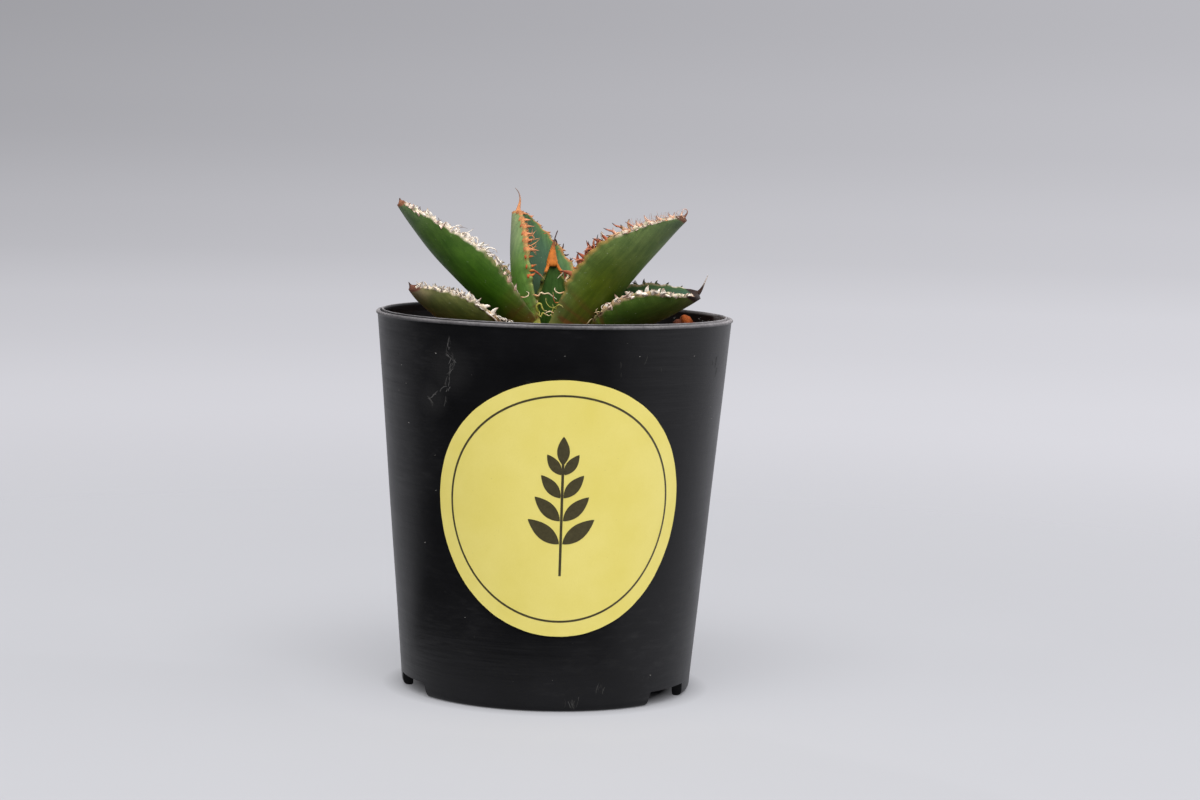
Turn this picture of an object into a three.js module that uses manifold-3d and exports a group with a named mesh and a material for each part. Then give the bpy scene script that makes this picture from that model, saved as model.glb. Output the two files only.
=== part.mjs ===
// A small thick-leaved agave standing in its round nursery pot. Millimetres, +Z up, origin at the middle of the pot's foot.
// Azimuths are measured from +X towards +Y; the side with the label faces -Y.
import * as THREE from "three";
import { mergeVertices } from "three/addons/utils/BufferGeometryUtils.js";
import Module from "manifold-3d";

const wasm = await Module();
wasm.setup();

// ---- driving dimensions ----
const GAP = 0.3; // clear space between neighbouring pieces
const POT_SIDES = 48;
const POT_HEIGHT = 84.6;
const RIM_RADIUS = 40; // outside of the rim's lip
const LIP_DEPTH = 1.1; // from the crest to the lip's lower edge
const LIP_OVERHANG = 0.37;
const RIM_WIDTH = 1.8;
const WALL = 1.2;
const BASE_RADIUS = 32.56; // outside of the wall just above the foot
const BASE_CORNER = 1.5; // height of the rounded corner at the foot
const FOOT_RADIUS = 31.4;
const FOOT_WIDTH = 1.2;
const RECESS = 3.4; // the floor's underside above the ground
const FLOOR = 1.2;
const DRAIN_RADIUS = 1.8;
const DRAIN_RING = 17;
const DRAIN_COUNT = 6;
const NOTCH_AZIMUTHS = [-33, 86, 203.5];
const NOTCH_HALF_WIDTH = 12.7; // degrees
const NOTCH_SLOPE = 0.9; // degrees wider at the foot and narrower at the top
const NOTCH_HEIGHT = 3.1;

const LABEL_RADIUS = 27.85;
const LABEL_AZIMUTH = -86;
const LABEL_HEIGHT = 44.8; // of its centre
const LABEL_THICKNESS = 0.25;
const LABEL_GAP = 0.2;

const SOIL_TOP = 78.1;
const WELL_RADIUS = 12.4; // shallow hollow that the leaf bases stand in
const WELL_FLOOR = 75.6;
const STEM_HOLE_RADIUS = 5;
const STEM_HOLE_FLOOR = 62;
const SOIL_SIDES = 34;
const SOIL_RINGS = 8;
const SOIL_RELIEF = 1.7;
const GRAINS = 44;
const BIG_GRAINS = [[30.2, 15.6, SOIL_TOP + 1, 2.8], [30.6, 16, SOIL_TOP + 3.5, 2.4]]; // places and sizes of two, one on the other, that show beside the right leaves

const STEM_RADIUS = 4.6;
const STEM_TOP = 80.9;
const STEM_FOOT = 70;
const ROOTS = 5;

const BLADE_STATIONS = 11;
const BLADE_COLUMNS = 6; // strips across each face
const MARGIN_THICKNESS = 0.7;

// Leaves, youngest first. base: where the channel's bottom leaves the stem; az, el, turn: heading, its slope from base to tip, and how far the heading swings;
// roll: twist about its own length; half: half the flat width; low, wide: share of that width at the base, and where it is widest; curl: channel half angle at base, middle and tip; blunt: smaller for a squarer tip.
const LEAVES = [
  { name: "leaf_centre", base: [-0.7, -1, 78.2], tail: 0.02, az: -92, turn: 12, el: [95, 93], length: 17.6, roll: -10, half: 4, low: 0.9, wide: 0.24, taper: 1.5, curl: [76, 50, 70], thick: 1.7,
    teeth: [4, 0.35, 0.97, 2.2, 2.2], spine: [7.2, 1.15, 0.05, 0.07], colour: 0x44591c, seed: 11 },
  { name: "leaf_back", base: [-2.6, 2.8, 80.4], tail: 0.06, az: 118.5, turn: 19, el: [65.5, 71.5], length: 28.3, roll: -25, half: 11, low: 0.7, wide: 0.48, taper: 1.5, curl: [69, 58, 51], thick: 4.1,
    teeth: [9, 0.32, 0.98, 2.9, 1.5], lean: 1.3, spine: [5.6, 1.2, 0.25, -0.15], colour: 0x667a45, seed: 23 },
  { name: "leaf_right", base: [5.3, -1, 79.9], tail: 0.06, az: -8.7, turn: -10, el: [60.5, 38], length: 35.9, roll: 2.5, half: 11.1, low: 0.8, wide: 0.5, taper: 1.5, curl: [85, 77, 35], thick: 2.6,
    teeth: [13, 0.22, 0.99, 3.3, 3.1], spine: [2.8, 0.9, 0.9, 0.3], colour: 0x435018, seed: 31 },
  { name: "leaf_left", base: [-4.2, 0.4, 81.2], tail: 0.08, az: 185, turn: 6, el: [32, 51.5], length: 41.2, roll: 1.7, half: 8.7, low: 0.46, wide: 0.49, taper: 1.35, curl: [38, 90, 48], thick: 2.5,
    teeth: [14, 0.2, 0.98, 3.5, 3.2], spine: [1, 1.2, 0.4, 0], colour: 0x2e4317, seed: 47 },
  { name: "leaf_rear_right", base: [2.4, 4.2, 80.6], tail: 0.12, az: 58, turn: 6, el: [20, 30], length: 27, roll: 0, half: 8.4, low: 0.6, wide: 0.45, taper: 2, curl: [50, 66, 40], thick: 3,
    teeth: [8, 0.25, 0.98, 2.5, 2.5], spine: [3.2, 1, 0.4, 0.1], colour: 0x3a4a1a, seed: 59 },
  { name: "leaf_low_right", base: [7.5, -0.8, 81.9], tail: 0.16, az: 3, turn: -9, el: [13.5, 23], length: 25.8, roll: -5, half: 8.7, low: 0.48, wide: 0.43, taper: 1.65, blunt: 0.5, curl: [43, 71, 4], thick: 3.6,
    teeth: [10, 0.12, 0.97, 2.2, 2.2], spine: [4.7, 1.2, 0.75, 0.1], colour: 0x2c3a14, seed: 67 },
  { name: "leaf_rear_left", base: [-6, 4, 81.3], tail: 0.14, az: 152, turn: -4, el: [33, 40], length: 27.5, roll: 0, half: 7.2, low: 0.6, wide: 0.45, taper: 2, curl: [50, 70, 45], thick: 2.8,
    teeth: [8, 0.25, 0.97, 2.5, 2.5], spine: [2.4, 1, 0.5, 0], colour: 0x33451a, seed: 73 },
  { name: "leaf_low_left", base: [-10.4, -2.4, 81], tail: 0.26, az: 186.6, turn: 13.5, el: [-2, 46.5], length: 24.2, roll: -1, half: 7.8, low: 0.42, wide: 0.42, taper: 2.35, curl: [26, 76, 56], thick: 1.8,
    teeth: [11, 0.1, 0.97, 2, 2], spine: [1.3, 1.1, 0.2, 0], colour: 0x3c421c, seed: 89 },
  { name: "leaf_low_front", base: [2, -7.2, 80.4], tail: 0.22, az: -72, turn: -8, el: [-1, 5], length: 18, roll: 0, half: 6.2, low: 0.6, wide: 0.4, taper: 2, curl: [26, 40, 30], thick: 1.4,
    teeth: [7, 0.15, 0.97, 1.2, 1.2], spine: [1.4, 0.9, 0.2, 0], colour: 0x474d24, seed: 97 },
];

// ---- helpers ----
const rad = THREE.MathUtils.degToRad;
const vec = (x, y, z) => new THREE.Vector3(x, y, z);

// Repeatable draw of numbers from 0 to 1.
function draw(seed) {
  let a = seed >>> 0;
  return () => {
    a = (a + 0x6d2b79f5) >>> 0;
    let t = Math.imul(a ^ (a >>> 15), a | 1);
    t = (t + Math.imul(t ^ (t >>> 7), t | 61)) ^ t;
    return ((t ^ (t >>> 14)) >>> 0) / 4294967296;
  };
}

// A closed triangle geometry as a solid, turned so that its faces point out.
function solid(geometry) {
  const g = geometry.clone();
  g.deleteAttribute("normal");
  g.deleteAttribute("uv");
  const merged = mergeVertices(g, 1e-4);
  const p = merged.attributes.position, t = new Uint32Array(merged.index.array);
  const v = [vec(), vec(), vec()];
  let six = 0;
  for (let i = 0; i < t.length; i += 3) {
    v.forEach((q, k) => q.fromBufferAttribute(p, t[i + k]));
    six += v[0].dot(v[1].clone().cross(v[2]));
  }
  if (six < 0) for (let i = 0; i < t.length; i += 3) [t[i + 1], t[i + 2]] = [t[i + 2], t[i + 1]];
  return new wasm.Manifold(new wasm.Mesh({ numProp: 3, vertProperties: new Float32Array(p.array), triVerts: t }));
}

function mesh(name, made, colour, roughness) {
  const m = made.getMesh(), xyz = new Float32Array(m.numVert * 3);
  for (let i = 0; i < m.numVert; i++) xyz.set(m.vertProperties.subarray(i * m.numProp, i * m.numProp + 3), i * 3);
  const g = new THREE.BufferGeometry();
  g.setAttribute("position", new THREE.BufferAttribute(xyz, 3));
  g.setIndex(new THREE.BufferAttribute(new Uint32Array(m.triVerts), 1));
  g.computeVertexNormals();
  const out = new THREE.Mesh(g, new THREE.MeshStandardMaterial({ color: colour, roughness, metalness: 0 }));
  out.name = name;
  return out;
}

const largest = (made) => made.decompose().reduce((a, b) => (a.volume() > b.volume() ? a : b));

// Skin over rings of equally many points; each end is closed by the given triangles of ring indices.
function loft(rings, cap) {
  const n = rings[0].length, xyz = rings.flat().flatMap((p) => [p.x, p.y, p.z]), index = [];
  for (let i = 0; i + 1 < rings.length; i++)
    for (let j = 0; j < n; j++) {
      const a = i * n + j, b = i * n + ((j + 1) % n), c = a + n, d = b + n;
      index.push(a, c, b, b, c, d);
    }
  const last = (rings.length - 1) * n;
  for (const [a, b, c] of cap) index.push(a, b, c, last + a, last + c, last + b);
  const g = new THREE.BufferGeometry();
  g.setAttribute("position", new THREE.Float32BufferAttribute(xyz, 3));
  g.setIndex(index);
  return g;
}
const fan = (n) => Array.from({ length: n - 2 }, (_, k) => [0, k + 1, k + 2]);

// Tapering horn along a bent line: root, start direction, sideways bend, length, half thickness across and through, sides.
function horn(root, along, bend, across, length, a, b, steps, sides) {
  const rings = [];
  const at = (t) => root.clone().addScaledVector(along, length * t).addScaledVector(bend, length * t * t);
  for (const t of steps) {
    const d = along.clone().addScaledVector(bend, 2 * t).normalize();
    const p = across.clone().addScaledVector(d, -across.dot(d)).normalize(), q = d.clone().cross(p);
    const k = 1 - Math.max(t, 0), c = at(t);
    rings.push(Array.from({ length: sides }, (_, i) => {
      const f = (2 * Math.PI * i) / sides;
      return c.clone().addScaledVector(p, a * k * Math.cos(f)).addScaledVector(q, b * k * Math.sin(f));
    }));
  }
  const n = sides, xyz = [...rings.flat(), at(1)].flatMap((p) => [p.x, p.y, p.z]), index = [];
  for (let i = 0; i + 1 < rings.length; i++)
    for (let j = 0; j < n; j++) {
      const u = i * n + j, v = i * n + ((j + 1) % n);
      index.push(u, u + n, v, v, u + n, v + n);
    }
  const last = (rings.length - 1) * n;
  for (let j = 0; j < n; j++) index.push(last + j, rings.length * n, last + ((j + 1) % n));
  for (const [u, v, w] of fan(n)) index.push(u, v, w);
  const g = new THREE.BufferGeometry();
  g.setAttribute("position", new THREE.Float32BufferAttribute(xyz, 3));
  g.setIndex(index);
  return g;
}

// Solid of revolution from [radius, height] pairs.
function turned(profile, sides) {
  const g = new THREE.LatheGeometry(profile.map(([r, z]) => new THREE.Vector2(r, z)), sides);
  return solid(g.rotateX(Math.PI / 2));
}

// ---- pot ----
const wallRadius = (z) =>
  BASE_RADIUS + ((RIM_RADIUS - LIP_OVERHANG - BASE_RADIUS) * (z - BASE_CORNER)) / (POT_HEIGHT - LIP_DEPTH - BASE_CORNER);

function pot() {
  const top = POT_HEIGHT, floor = RECESS + FLOOR, inner = RIM_RADIUS - RIM_WIDTH;
  let body = turned([
    [FOOT_RADIUS, 0], [FOOT_RADIUS + 0.75, 0.35], [BASE_RADIUS - 0.1, 0.95], [BASE_RADIUS, BASE_CORNER],
    [wallRadius(top - LIP_DEPTH), top - LIP_DEPTH], [RIM_RADIUS - 0.08, top - LIP_DEPTH + 0.12], [RIM_RADIUS, top - 0.6], [RIM_RADIUS - 0.25, top - 0.18],
    [RIM_RADIUS - 0.75, top], [inner + 0.45, top - 0.05], [inner, top - 0.45], [wallRadius(top - 2) - WALL, top - 2],
    [wallRadius(floor) - WALL, floor + 1.2], [wallRadius(floor) - WALL - 0.9, floor], [0, floor],
    [0, RECESS], [FOOT_RADIUS - FOOT_WIDTH - 0.5, RECESS], [FOOT_RADIUS - FOOT_WIDTH, RECESS - 0.5], [FOOT_RADIUS - FOOT_WIDTH, 0], [FOOT_RADIUS, 0],
  ], POT_SIDES);
  for (const azimuth of NOTCH_AZIMUTHS) body = body.subtract(notch(azimuth));
  for (let i = 0; i <= DRAIN_COUNT; i++) {
    const a = (2 * Math.PI * i) / DRAIN_COUNT, r = i < DRAIN_COUNT ? DRAIN_RING : 0;
    const hole = new THREE.CylinderGeometry(DRAIN_RADIUS, DRAIN_RADIUS, 4, 12).rotateX(Math.PI / 2);
    body = body.subtract(solid(hole.translate(r * Math.cos(a), r * Math.sin(a), RECESS + FLOOR / 2)));
  }
  return body;
}

// Wedge that opens the foot ring, a little wider at the ground.
function notch(azimuth) {
  const rings = [[-0.5, NOTCH_HALF_WIDTH + NOTCH_SLOPE], [NOTCH_HEIGHT, NOTCH_HALF_WIDTH - NOTCH_SLOPE]].map(([z, half]) => {
    const ring = [];
    for (const [r, side] of [[27, 1], [36, -1]])
      for (let k = -3; k <= 3; k++) {
        const a = rad(azimuth + (side * half * k) / 3);
        ring.push(vec(r * Math.cos(a), r * Math.sin(a), z));
      }
    return ring;
  });
  const cap = [];
  for (let k = 0; k < 6; k++) cap.push([k, k + 1, 12 - k], [k, 12 - k, 13 - k]);
  return solid(loft(rings, cap));
}

// ---- label: a round sticker that follows the wall's flats ----
function label() {
  const step = (2 * Math.PI) / POT_SIDES, mid = rad(LABEL_AZIMUTH), r0 = wallRadius(LABEL_HEIGHT), reach = LABEL_RADIUS / r0;
  const angles = new Set();
  for (let k = Math.ceil((mid - reach) / step); k * step < mid + reach; k++) angles.add(k * step);
  for (const f of [-0.998, -0.985, -0.95, -0.9, 0.9, 0.95, 0.985, 0.998]) angles.add(mid + reach * f);
  const rings = [...angles].sort((a, b) => a - b).map((a) => {
    const flat = Math.cos(step / 2) / Math.cos(a - (Math.floor(a / step) + 0.5) * step);
    const half = Math.sqrt(Math.max(LABEL_RADIUS ** 2 - ((a - mid) * r0) ** 2, 0));
    const at = (z, out) => {
      const r = wallRadius(z) * flat + out;
      return vec(r * Math.cos(a), r * Math.sin(a), z);
    };
    const low = LABEL_HEIGHT - half, high = LABEL_HEIGHT + half, out = LABEL_GAP + LABEL_THICKNESS;
    return [at(low, LABEL_GAP), at(low, out), at(high, out), at(high, LABEL_GAP)];
  });
  return solid(loft(rings, fan(4)));
}

// ---- stem with its roots ----
function stem() {
  let body = turned([
    [0, STEM_FOOT], [STEM_RADIUS * 0.55, STEM_FOOT + 0.3], [STEM_RADIUS * 0.8, STEM_FOOT + 2.5], [STEM_RADIUS, STEM_FOOT + 5],
    [STEM_RADIUS, STEM_TOP - 2.2], [STEM_RADIUS * 0.8, STEM_TOP - 0.8], [STEM_RADIUS * 0.45, STEM_TOP - 0.1], [0, STEM_TOP],
  ], 14);
  for (let i = 0; i < ROOTS; i++) {
    const a = (2 * Math.PI * (i + 0.2)) / ROOTS, out = vec(Math.cos(a), Math.sin(a), 0);
    const root = out.clone().multiplyScalar(1.6).setZ(STEM_FOOT + 2.5);
    const along = vec(0, 0, -1).addScaledVector(out, 0.2);
    body = body.add(solid(horn(root, along, out.clone().multiplyScalar(i % 2 ? 0.08 : -0.06), vec(-out.y, out.x, 0), 8.6 - (i % 3), 0.95, 0.95, [0, 0.4], 5)));
  }
  return body;
}

// ---- leaves ----
// Place, heading and face directions of a leaf's channel at share s of its length, by steps along the curve.
function spineOf(leaf) {
  const N = 60, frames = [];
  const c = vec(...leaf.base), heading = (s) => {
    const e = rad(leaf.el[0] + (leaf.el[1] - leaf.el[0]) * s), a = rad(leaf.az + leaf.turn * s ** 1.5);
    return vec(Math.cos(e) * Math.cos(a), Math.cos(e) * Math.sin(a), Math.sin(e));
  };
  for (let i = 0; i <= N; i++) {
    const t = heading(i / N);
    if (i) c.addScaledVector(heading((i - 1) / N).add(t), leaf.length / N / 2);
    const w = vec(t.y, -t.x, 0).normalize(), n = w.clone().cross(t), r = rad(leaf.roll);
    frames.push({ c: c.clone(), t, w: w.clone().multiplyScalar(Math.cos(r)).addScaledVector(n, Math.sin(r)), n: n.multiplyScalar(Math.cos(r)).addScaledVector(w, -Math.sin(r)) });
  }
  return (s) => {
    const x = Math.min(Math.max(s, 0), 1) * N, i = Math.min(Math.floor(x), N - 1), f = x - i, p = frames[i], q = frames[i + 1];
    const mix = (k) => p[k].clone().lerp(q[k], f);
    const c = mix("c");
    if (s < 0) c.addScaledVector(frames[0].t, s * leaf.length);
    if (s > 1) c.addScaledVector(frames[N].t, (s - 1) * leaf.length);
    return { c, t: mix("t").normalize(), w: mix("w").normalize(), n: mix("n").normalize() };
  };
}

function section(leaf, s) {
  const x = Math.min(Math.max(s, 0), 1), m = leaf.wide, [a, b, c] = leaf.curl;
  const rise = leaf.low + (1 - leaf.low) * Math.sin(Math.min(x / m, 1) * Math.PI / 2);
  const fall = Math.max(1 - (Math.max(x - m, 0) / (1 - m)) ** leaf.taper, 0) ** (leaf.blunt ?? 0.8);
  return {
    half: leaf.half * (x < m ? rise : fall) + 0.5,
    curl: rad(a * (1 - x) * (1 - 2 * x) + 4 * b * x * (1 - x) + c * x * (2 * x - 1)),
    thick: leaf.thick * (1 - 0.72 * x ** 2.2),
  };
}

// Point of a leaf at s along it and u across it (-1 to 1), moved by out through its thickness.
function leafPoint(leaf, frame, s, u, out) {
  const f = frame(s), { half, curl } = section(leaf, s), r = half / curl, g = curl * u;
  return f.c.clone().addScaledVector(f.w, r * Math.sin(g) + out * Math.sin(g)).addScaledVector(f.n, r * (1 - Math.cos(g)) - out * Math.cos(g));
}

// The blade; grow swells it on every side, for the room it needs.
function blade(leaf, frame, grow) {
  const rings = [], m = BLADE_COLUMNS;
  for (let i = 0; i <= BLADE_STATIONS; i++) {
    const from = -leaf.tail - grow / leaf.length, to = 1 + grow / leaf.length;
    const s = to - (to - from) * (1 - i / BLADE_STATIONS) ** 1.15;
    const { half, thick } = section(leaf, s), wide = 1 + grow / half, ring = [];
    for (let j = 0; j <= m; j++) ring.push(leafPoint(leaf, frame, s, (2 * j / m - 1) * wide, -grow));
    for (let j = m; j >= 0; j--) {
      const u = 2 * j / m - 1;
      ring.push(leafPoint(leaf, frame, s, u * wide, grow + MARGIN_THICKNESS + thick * (1 - Math.abs(u) ** 1.6)));
    }
    rings.push(ring);
  }
  const cap = [], n = 2 * m + 1;
  for (let j = 0; j < m; j++) cap.push([j, j + 1, n - j - 1], [j, n - j - 1, n - j]);
  return solid(loft(rings, cap));
}

// Marginal teeth: hooked horns spread evenly up both edges, each with its own drawn length and bend.
function teeth(leaf, frame) {
  const rnd = draw(leaf.seed), [count, from, to, lowSide, highSide] = leaf.teeth, list = [];
  for (const side of [-1, 1])
    for (let k = 0; k < count; k++) {
      const s = from + ((to - from) * (k + 0.5 + 0.5 * (rnd() - 0.5))) / count;
      const size = (side < 0 ? lowSide : highSide) * (0.75 + 0.5 * rnd()) * (1.15 - 0.6 * s);
      const edge = leafPoint(leaf, frame, s, side, MARGIN_THICKNESS / 2), inner = leafPoint(leaf, frame, s, side * 0.9, MARGIN_THICKNESS / 2);
      const along = leafPoint(leaf, frame, s + 0.01, side, MARGIN_THICKNESS / 2).sub(leafPoint(leaf, frame, s - 0.01, side, MARGIN_THICKNESS / 2)).normalize();
      const out = edge.clone().sub(inner).normalize(), face = along.clone().cross(out);
      if (side < 0 && leaf.lean) out.addScaledVector(face, leaf.lean).normalize();
      const hook = (rnd() - 0.35) * 0.9, tilt = (rnd() - 0.5) * 0.7;
      const bend = along.clone().multiplyScalar(hook).addScaledVector(face, tilt).addScaledVector(out, -0.12);
      const start = out.clone().addScaledVector(along, 0.25 * (rnd() - 0.6) - hook * 0.3);
      list.push({ root: edge, start, bend, along, size, wide: 0.34 + 0.16 * size });
    }
  return list;
}

function toothSolid(t, scale, grow) {
  const size = t.size * scale + grow;
  return solid(horn(t.root, t.start, t.bend, t.along, size, t.wide + grow, 0.42 + grow, [-0.7 / size, 0.5], 3));
}

function spineSolid(leaf, frame, grow) {
  const [long, slim, up, side] = leaf.spine, length = long + grow, width = slim + grow, f = frame(1);
  const root = f.c.clone().addScaledVector(f.n, -0.3);
  const start = f.t.clone().addScaledVector(f.n, up * 0.25).normalize();
  const bend = f.n.clone().multiplyScalar(up * 0.7).addScaledVector(f.w, side);
  return solid(horn(root, start, bend, f.w, length, width, width * 0.85, [-2.4 / length, 0, 0.45], 5));
}

// Room that nothing else may enter, gathered as pieces are placed.
const parts = [];
const stemBody = stem();
const stemRoom = turned([[0, STEM_FOOT - 1], [STEM_RADIUS + GAP, STEM_FOOT - 1], [STEM_RADIUS + GAP, STEM_TOP - 2], [STEM_RADIUS * 0.8 + GAP, STEM_TOP - 0.4], [STEM_RADIUS * 0.45 + GAP, STEM_TOP + GAP], [0, STEM_TOP + GAP + 0.1]], 14);
const frames = LEAVES.map(spineOf);
const rooms = LEAVES.map((leaf, i) => blade(leaf, frames[i], GAP).add(spineSolid(leaf, frames[i], GAP)));

const touches = (a, b) => a.intersect(b).volume() > 1e-5;

// Plug of soil: plain holes for the stem and the leaf bases, and a lumpy top out to the wall.
function soilBlock() {
  const side = (z) => wallRadius(z) * Math.cos(Math.PI / POT_SIDES) - WALL - GAP, floor = RECESS + FLOOR + GAP, rnd = draw(17);
  const ring = (r, z, rough) => Array.from({ length: SOIL_SIDES }, (_, k) => {
    const a = (2 * Math.PI * (k + rough * 0.5 * (rnd() - 0.5))) / SOIL_SIDES, q = r + rough * 1.3 * (rnd() - 0.5);
    return vec(q * Math.cos(a), q * Math.sin(a), z + rough * SOIL_RELIEF * (rnd() - 0.5));
  });
  const rings = [
    ring(STEM_HOLE_RADIUS, STEM_HOLE_FLOOR, 0), ring(STEM_HOLE_RADIUS, WELL_FLOOR, 0), ring(8, WELL_FLOOR, 0.35), ring(WELL_RADIUS - 1.4, WELL_FLOOR + 0.3, 0.3), ring(WELL_RADIUS, SOIL_TOP - 0.5, 0.2),
  ];
  const first = WELL_RADIUS + 2.2, last = side(SOIL_TOP) - 1.4;
  for (let i = 0; i < SOIL_RINGS; i++) rings.push(ring(first + ((last - first) * i) / (SOIL_RINGS - 1), SOIL_TOP, 1));
  rings.push(ring(side(SOIL_TOP - 1.2), SOIL_TOP - 1.2, 0), ring(side(floor + 1.7), floor + 1.7, 0), ring(side(floor) - 1.4, floor, 0));
  return solid(loft(rings, fan(SOIL_SIDES)));
}

// Coarse grains half sunk in the soil's top: rings of seeded places out to the wall, each kept clear of leaves.
function grain(x, y, z, r, rnd) {
  const g = new THREE.IcosahedronGeometry(r, 0);
  g.scale(1, 0.8 + 0.25 * rnd(), 0.75 + 0.2 * rnd()).rotateX(rnd() * 6).rotateZ(rnd() * 6);
  return solid(g.translate(x, y, z));
}

function build() {
  const leaves = [], done = [];
  LEAVES.forEach((leaf, i) => {
    let body = blade(leaf, frames[i], 0).subtract(stemRoom);
    for (let j = 0; j < i; j++) body = body.subtract(rooms[j]);
    leaves.push(largest(body));
  });
  LEAVES.forEach((leaf, i) => {
    const others = [stemRoom, ...rooms.filter((_, j) => j != i)];
    let body = leaves[i].add(spineSolid(leaf, frames[i], 0));
    for (const t of teeth(leaf, frames[i]))
      for (const scale of [1, 0.7, 0.45]) {
        const horned = toothSolid(t, scale, 0), around = toothSolid(t, scale, GAP);
        if (others.some((o) => touches(horned, o)) || done.some((o) => touches(around, o))) continue;
        body = body.add(horned);
        break;
      }
    body = largest(body);
    done.push(body);
    parts.push(mesh(leaf.name, body, leaf.colour, 0.55));
  });
  let soil = soilBlock();
  const rnd = draw(5), golden = Math.PI * (3 - Math.sqrt(5));
  const clear = wallRadius(SOIL_TOP) - WALL - GAP;
  for (let k = 0; k < GRAINS; k++) {
    const size = 1.7 + 1.1 * rnd(), share = (k + 0.5) / GRAINS;
    const r = Math.min(Math.sqrt(WELL_RADIUS ** 2 * 0.75 + share * (clear ** 2 - WELL_RADIUS ** 2 * 0.75)), clear - size - 0.2), a = k * golden;
    for (const drop of [0, 0.9]) {
      const g = grain(r * Math.cos(a), r * Math.sin(a), (r < WELL_RADIUS + 1 ? WELL_FLOOR + 1 : SOIL_TOP) + 0.25 * size - drop, size, draw(k + 100));
      if ([stemRoom, ...rooms, ...done].some((o) => touches(g, o))) continue;
      soil = soil.add(g);
      break;
    }
  }
  for (const place of BIG_GRAINS) soil = soil.add(grain(...place, draw(7)));
  for (const room of rooms) soil = soil.subtract(room);
  parts.push(mesh("soil", largest(soil), 0x5a4636, 0.95));
  parts.push(mesh("stem", stemBody, 0x8a8450, 0.8));
  parts.push(mesh("pot", pot(), 0x18181a, 0.42));
  parts.push(mesh("label", label(), 0xded46f, 0.5));
}

build();
const group = new THREE.Group();
group.add(...parts);
export default group;
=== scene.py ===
"""Looks of a small thick-leaved agave in its nursery pot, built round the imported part.
Sizes are in millimetres and turned into metres as each mesh is made."""
import math

import bmesh
import bpy
import numpy as np
from mathutils import Matrix, Vector


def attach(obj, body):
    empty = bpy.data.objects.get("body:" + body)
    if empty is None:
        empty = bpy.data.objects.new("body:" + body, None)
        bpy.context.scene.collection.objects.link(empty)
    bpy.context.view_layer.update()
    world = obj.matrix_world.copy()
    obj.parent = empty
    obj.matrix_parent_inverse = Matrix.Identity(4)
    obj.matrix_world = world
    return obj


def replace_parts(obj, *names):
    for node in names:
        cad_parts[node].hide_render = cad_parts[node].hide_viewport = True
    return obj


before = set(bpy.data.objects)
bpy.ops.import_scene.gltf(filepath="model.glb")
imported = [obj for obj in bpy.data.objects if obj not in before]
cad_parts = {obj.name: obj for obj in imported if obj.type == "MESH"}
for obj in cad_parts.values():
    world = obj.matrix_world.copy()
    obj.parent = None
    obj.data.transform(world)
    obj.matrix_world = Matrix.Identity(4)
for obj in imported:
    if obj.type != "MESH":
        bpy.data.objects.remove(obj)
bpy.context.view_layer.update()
MM = 0.001

# ---- driving dimensions, the same as the solids' ----
POT_HEIGHT, RIM_RADIUS, LIP_DEPTH, LIP_OVERHANG, RIM_WIDTH, WALL = 84.6, 40.0, 1.1, 0.37, 1.8, 1.2
BASE_RADIUS, BASE_CORNER, FOOT_RADIUS, FOOT_WIDTH, RECESS, FLOOR = 32.56, 1.5, 31.4, 1.2, 3.4, 1.2
DRAIN_RADIUS, DRAIN_RING, DRAIN_COUNT = 1.8, 17, 6
NOTCH_AZIMUTHS, NOTCH_HALF_WIDTH, NOTCH_SLOPE, NOTCH_HEIGHT = (-33, 86, 203.5), 12.7, 0.9, 3.1
LABEL_RADIUS, LABEL_AZIMUTH, LABEL_HEIGHT, LABEL_THICKNESS, LABEL_GAP = 27.85, -86, 44.8, 0.25, 0.2
SOIL_TOP, WELL_RADIUS, WELL_FLOOR = 78.1, 12.4, 75.6
GRAINS, GAP = 44, 0.3
MARGIN = 0.7

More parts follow.
